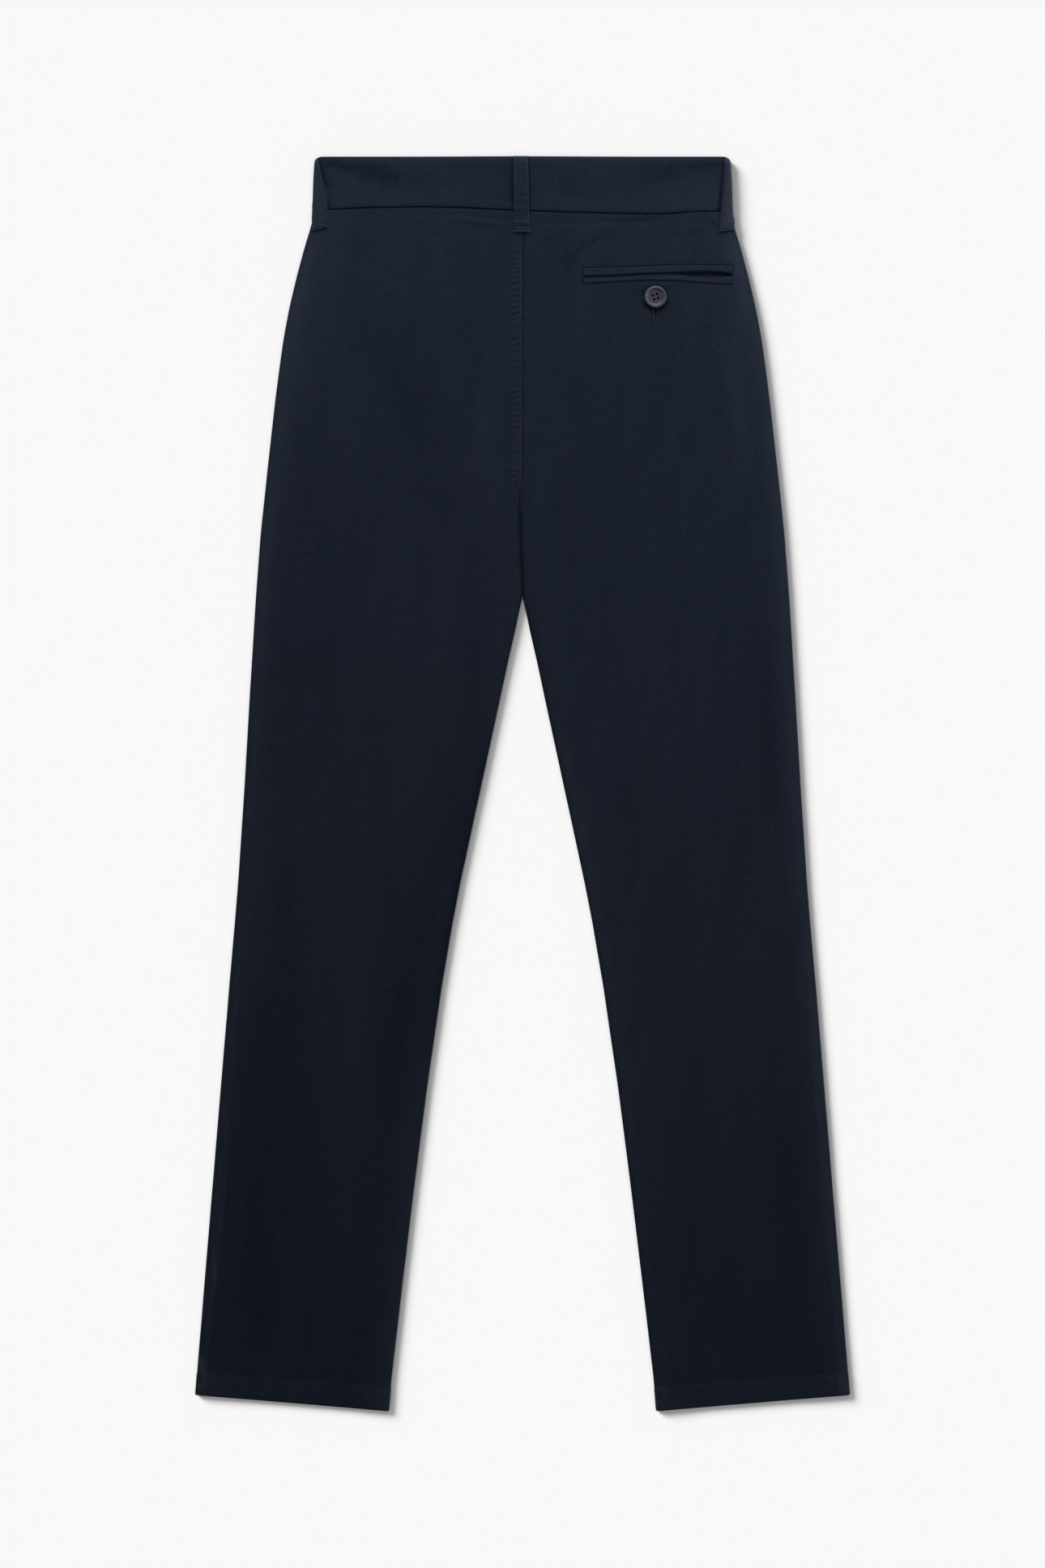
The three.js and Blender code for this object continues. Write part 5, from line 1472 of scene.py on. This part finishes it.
class TROUSERS_OT_stitching(bpy.types.Operator):
    """Sews the seat seam, the hems, the loops, the pocket, the buttonhole and the fly"""

    bl_idname = "trousers.stitching"
    bl_label = "Stitching"

    def execute(self, context):
        size = sizes()
        pitch, length, width = in_mm(size.stitch_pitch), in_mm(size.stitch_length), in_mm(size.stitch_width)
        thread = finish_of("navy thread")

        def sew(name, parts, wide=width):
            starts, ends, normals = gathered(parts)
            stitch_mesh(name, starts, ends, normals, wide, wide * 0.7, thread)

        downs = np.arange(*SEAT_STITCH_DOWNS, 2.0)
        points, normals = across_back(CLOTHS["back_left"], np.full(len(downs), SEAT_STITCH_X), downs)
        sew("seat_seam_stitches", [along_path(points, normals, pitch, length)], width * 0.6)

        hems = []
        for label in ("left", "right"):
            for name in (f"back_{label}", f"front_{label}"):
                points, normals = row_path(CLOTHS[name], LENGTH - HEM_DEPTH + 0.6)
                hems.append(along_path(points, normals, pitch, length, 0.02))
        sew("hem_stitches", hems, width * 0.65)

        loops, tacks = [], []
        for name in ("loop_centre_back", "loop_side_left", "loop_side_right", "loop_front_left",
            "loop_front_right"):
            cloth = CLOTHS[name]
            rows = (cloth.down[:, 0] > 2.5) & (cloth.down[:, 0] < LOOP_END - 2)
            for column in (4, 18):
                loops.append(along_path(cloth.points[rows, column], cloth.normals[rows, column], 2.6, 1.9))
            low = int(np.argmin(np.abs(cloth.down[:, 0] - (LOOP_END - 3))))
            points, normals = cloth.points[low], cloth.normals[low]
            if "front" in name:
                points, normals = points[2:-2], normals[2:-2]
            if "centre" in name:
                spread = np.array([LOOP_WIDTH, 0, 0]) * 0.13
                points = np.vstack([points[:1] - spread, points, points[-1:] + spread]) - np.array([0, 3.5,
                    0])
                normals = np.vstack([normals[:1], normals, normals[-1:]])
            tacks.append(bar_tack(points + 0.12 * normals, normals, 1.9 if "centre" in name else 0.7))
        sew("loop_stitches", loops, width * 0.5)
        sew("loop_tacks", tacks, width * 0.9)

        back = CLOTHS["back_right"]
        pocket = []
        xs = np.linspace(50.5, 173, 60)
        for column, way in (("top", -1), ("bottom", 1)):
            points, normals = across_back(back, xs, read(POCKET, column, xs, "x", soft=6) + way * 0.9)
            pocket.append(along_path(points, normals, 2.4, 1.9))
        for x in (47.4, 175.6):
            downs = np.linspace(90.5, 105.5, 12)
            points, normals = across_back(back, np.full(len(downs), x), downs)
            pocket.append(along_path(points, normals, 1.6, 1.4))
        sew("pocket_stitches", pocket, width * 0.55)

        hole = []
        for way in (-1, 1):
            downs = np.linspace(POCKET_BUTTON["down"] + 2, BUTTONHOLE_END, 20)
            half = mix(2.6, 0.5, (downs - downs[0]) / (downs[-1] - downs[0]))
            points, normals = across_back(back, POCKET_BUTTON["x"] + way * half, downs, 0.12)
            hole.append(bar_tack(points, normals, 1.2, 0.42))
        sew("buttonhole_stitches", hole, width * 0.85)

        front = []
        left, right = CLOTHS["front_left"], CLOTHS["front_right"]
        for cloth in (left, right):
            downs = np.arange(FRONT_SEAM_DOWN + 2, SLANT["down"] - 2, 3.0)
            columns = [int(np.argmin(np.abs(cloth.u[i] - (front_outside(cloth.down[i, 0]) - 6.5)))) for i in
                       (int(np.argmin(np.abs(cloth.down[:, 0] - d))) for d in downs)]
            rows = [int(np.argmin(np.abs(cloth.down[:, 0] - d))) for d in downs]
            front.append(along_path(cloth.points[rows, columns], cloth.normals[rows, columns], pitch, length))
        rows = np.nonzero(left.down[:, 0] < FLY_END)[0]
        bend = np.sqrt(np.clip(1 - np.clip((left.down[rows, 0] - 150) / (FLY_END - 150), 0, 1) ** 2, 0, 1))
        columns = [int(np.argmin(np.abs(left.u[i] - (-FLY_LAP + 35 * b)))) for i, b in zip(rows, bend)]
        front.append(along_path(left.points[rows, columns], left.normals[rows, columns], pitch, length))
        sew("front_stitches", front)
        return {"FINISHED"}


# Stage

def linked_lights(name, obj, state):
    """Light linking set that takes in an object, or leaves it out."""
    group = bpy.data.collections.new(name)
    group.objects.link(obj)
    group.collection_objects[0].light_linking.link_state = state
    return group


def area_light(name, place, target, power, size, links):
    data = bpy.data.lights.new(name, "AREA")
    data.energy, data.shape, data.size, data.size_y = power, "RECTANGLE", size[0], size[1]
    lamp = bpy.data.objects.new(name, data)
    lamp.location = place
    lamp.rotation_euler = (Vector(target) - Vector(place)).to_track_quat("-Z", "Y").to_euler()
    bpy.context.scene.collection.objects.link(lamp)
    lamp.light_linking.receiver_collection = links


def sun_light(name, direction, strength, spread, links):
    """A distant light with soft edges, spread in degrees."""
    data = bpy.data.lights.new(name, "SUN")
    data.energy, data.angle = strength, np.radians(spread)
    lamp = bpy.data.objects.new(name, data)
    lamp.rotation_euler = Vector(direction).to_track_quat("-Z", "Y").to_euler()
    bpy.context.scene.collection.objects.link(lamp)
    lamp.light_linking.receiver_collection = links


class TROUSERS_OT_stage(bpy.types.Operator):
    """Lays the pale floor and sets the lights and the camera straight above the garment"""

    bl_idname = "trousers.stage"
    bl_label = "Floor, lights and camera"

    def execute(self, context):
        scene = context.scene
        corners = np.array([(-20000, -20000, -0.4), (20000, -20000, -0.4), (20000, 20000, -0.4),
            (-20000, 20000, -0.4)], float)
        floor = new_mesh("floor", corners, np.array([[0, 1, 2, 3]]))
        floor.data.materials.append(floor_material("pale floor", colours().floor))

        world = bpy.data.worlds.new("studio")
        scene.world = world
        world.use_nodes = True
        world.node_tree.nodes["Background"].inputs["Color"].default_value = (1, 1, 1, 1)
        world.node_tree.nodes["Background"].inputs["Strength"].default_value = 0.12

        only_floor = linked_lights("lit floor", floor, "INCLUDE")
        not_floor = linked_lights("lit cloth", floor, "EXCLUDE")
        sun_light("low light", (0.66, -0.53, -0.43), 4.6, 26, only_floor)
        sun_light("high light", (0.05, -0.05, -1), 0.88, 90, only_floor)
        area_light("waist light", (0, 1.6, 0.9), (0, 0.25, 0), 15, (1.6, 0.5), not_floor)
        area_light("low waist light", (0, 1.3, 0.28), (0, 0.3, 0), 3.5, (1.2, 0.2), not_floor)
        area_light("right seat light", (1.2, 0.35, 0.28), (0.15, 0.3, 0), 6.1, (0.2, 0.9), not_floor)
        area_light("right leg light", (1.2, -0.4, 0.28), (0.2, -0.3, 0), 1.7, (0.2, 0.9), not_floor)
        area_light("left seat light", (-1.2, 0.35, 0.28), (-0.15, 0.3, 0), 2.2, (0.2, 0.9), not_floor)

        lens = bpy.data.cameras.new("camera")
        lens.sensor_width, lens.lens = 36.0, 36.0 * 3.0 / (1935 * 0.67 * MM)
        camera = bpy.data.objects.new("camera", lens)
        camera.location = (0, 0, 3.0025)
        scene.collection.objects.link(camera)
        scene.camera = camera
        scene.view_settings.view_transform = "Standard"
        return {"FINISHED"}


OPERATORS = (
    TROUSERS_OT_back_panels, TROUSERS_OT_front_panels, TROUSERS_OT_waistband, TROUSERS_OT_belt_loops,
    TROUSERS_OT_back_pocket, TROUSERS_OT_buttons, TROUSERS_OT_stitching, TROUSERS_OT_stage,
)


class TROUSERS_PT_panel(bpy.types.Panel):
    """Lists the steps, the sizes and the colours"""

    bl_idname = "TROUSERS_PT_panel"
    bl_label = "Flat chino trousers"
    bl_space_type = "VIEW_3D"
    bl_region_type = "UI"
    bl_category = "Trousers"

    def draw(self, context):
        for operator in OPERATORS:
            self.layout.operator(operator.bl_idname)
        for group in (context.scene.trousers_sizes, context.scene.trousers_colours):
            for name in group.bl_rna.properties.keys():
                if name not in ("rna_type", "name"):
                    self.layout.prop(group, name)


CLASSES = (TrousersSizes, TrousersColours, *OPERATORS, TROUSERS_PT_panel)


def register():
    for item in CLASSES:
        bpy.utils.register_class(item)
    bpy.types.Scene.trousers_sizes = bpy.props.PointerProperty(type=TrousersSizes)
    bpy.types.Scene.trousers_colours = bpy.props.PointerProperty(type=TrousersColours)


def unregister():
    del bpy.types.Scene.trousers_colours
    del bpy.types.Scene.trousers_sizes
    for item in reversed(CLASSES):
        bpy.utils.unregister_class(item)


def main():
    register()
    for operator in OPERATORS:
        group, name = operator.bl_idname.split(".")
        getattr(getattr(bpy.ops, group), name)()


if __name__ == "__main__":
    main()
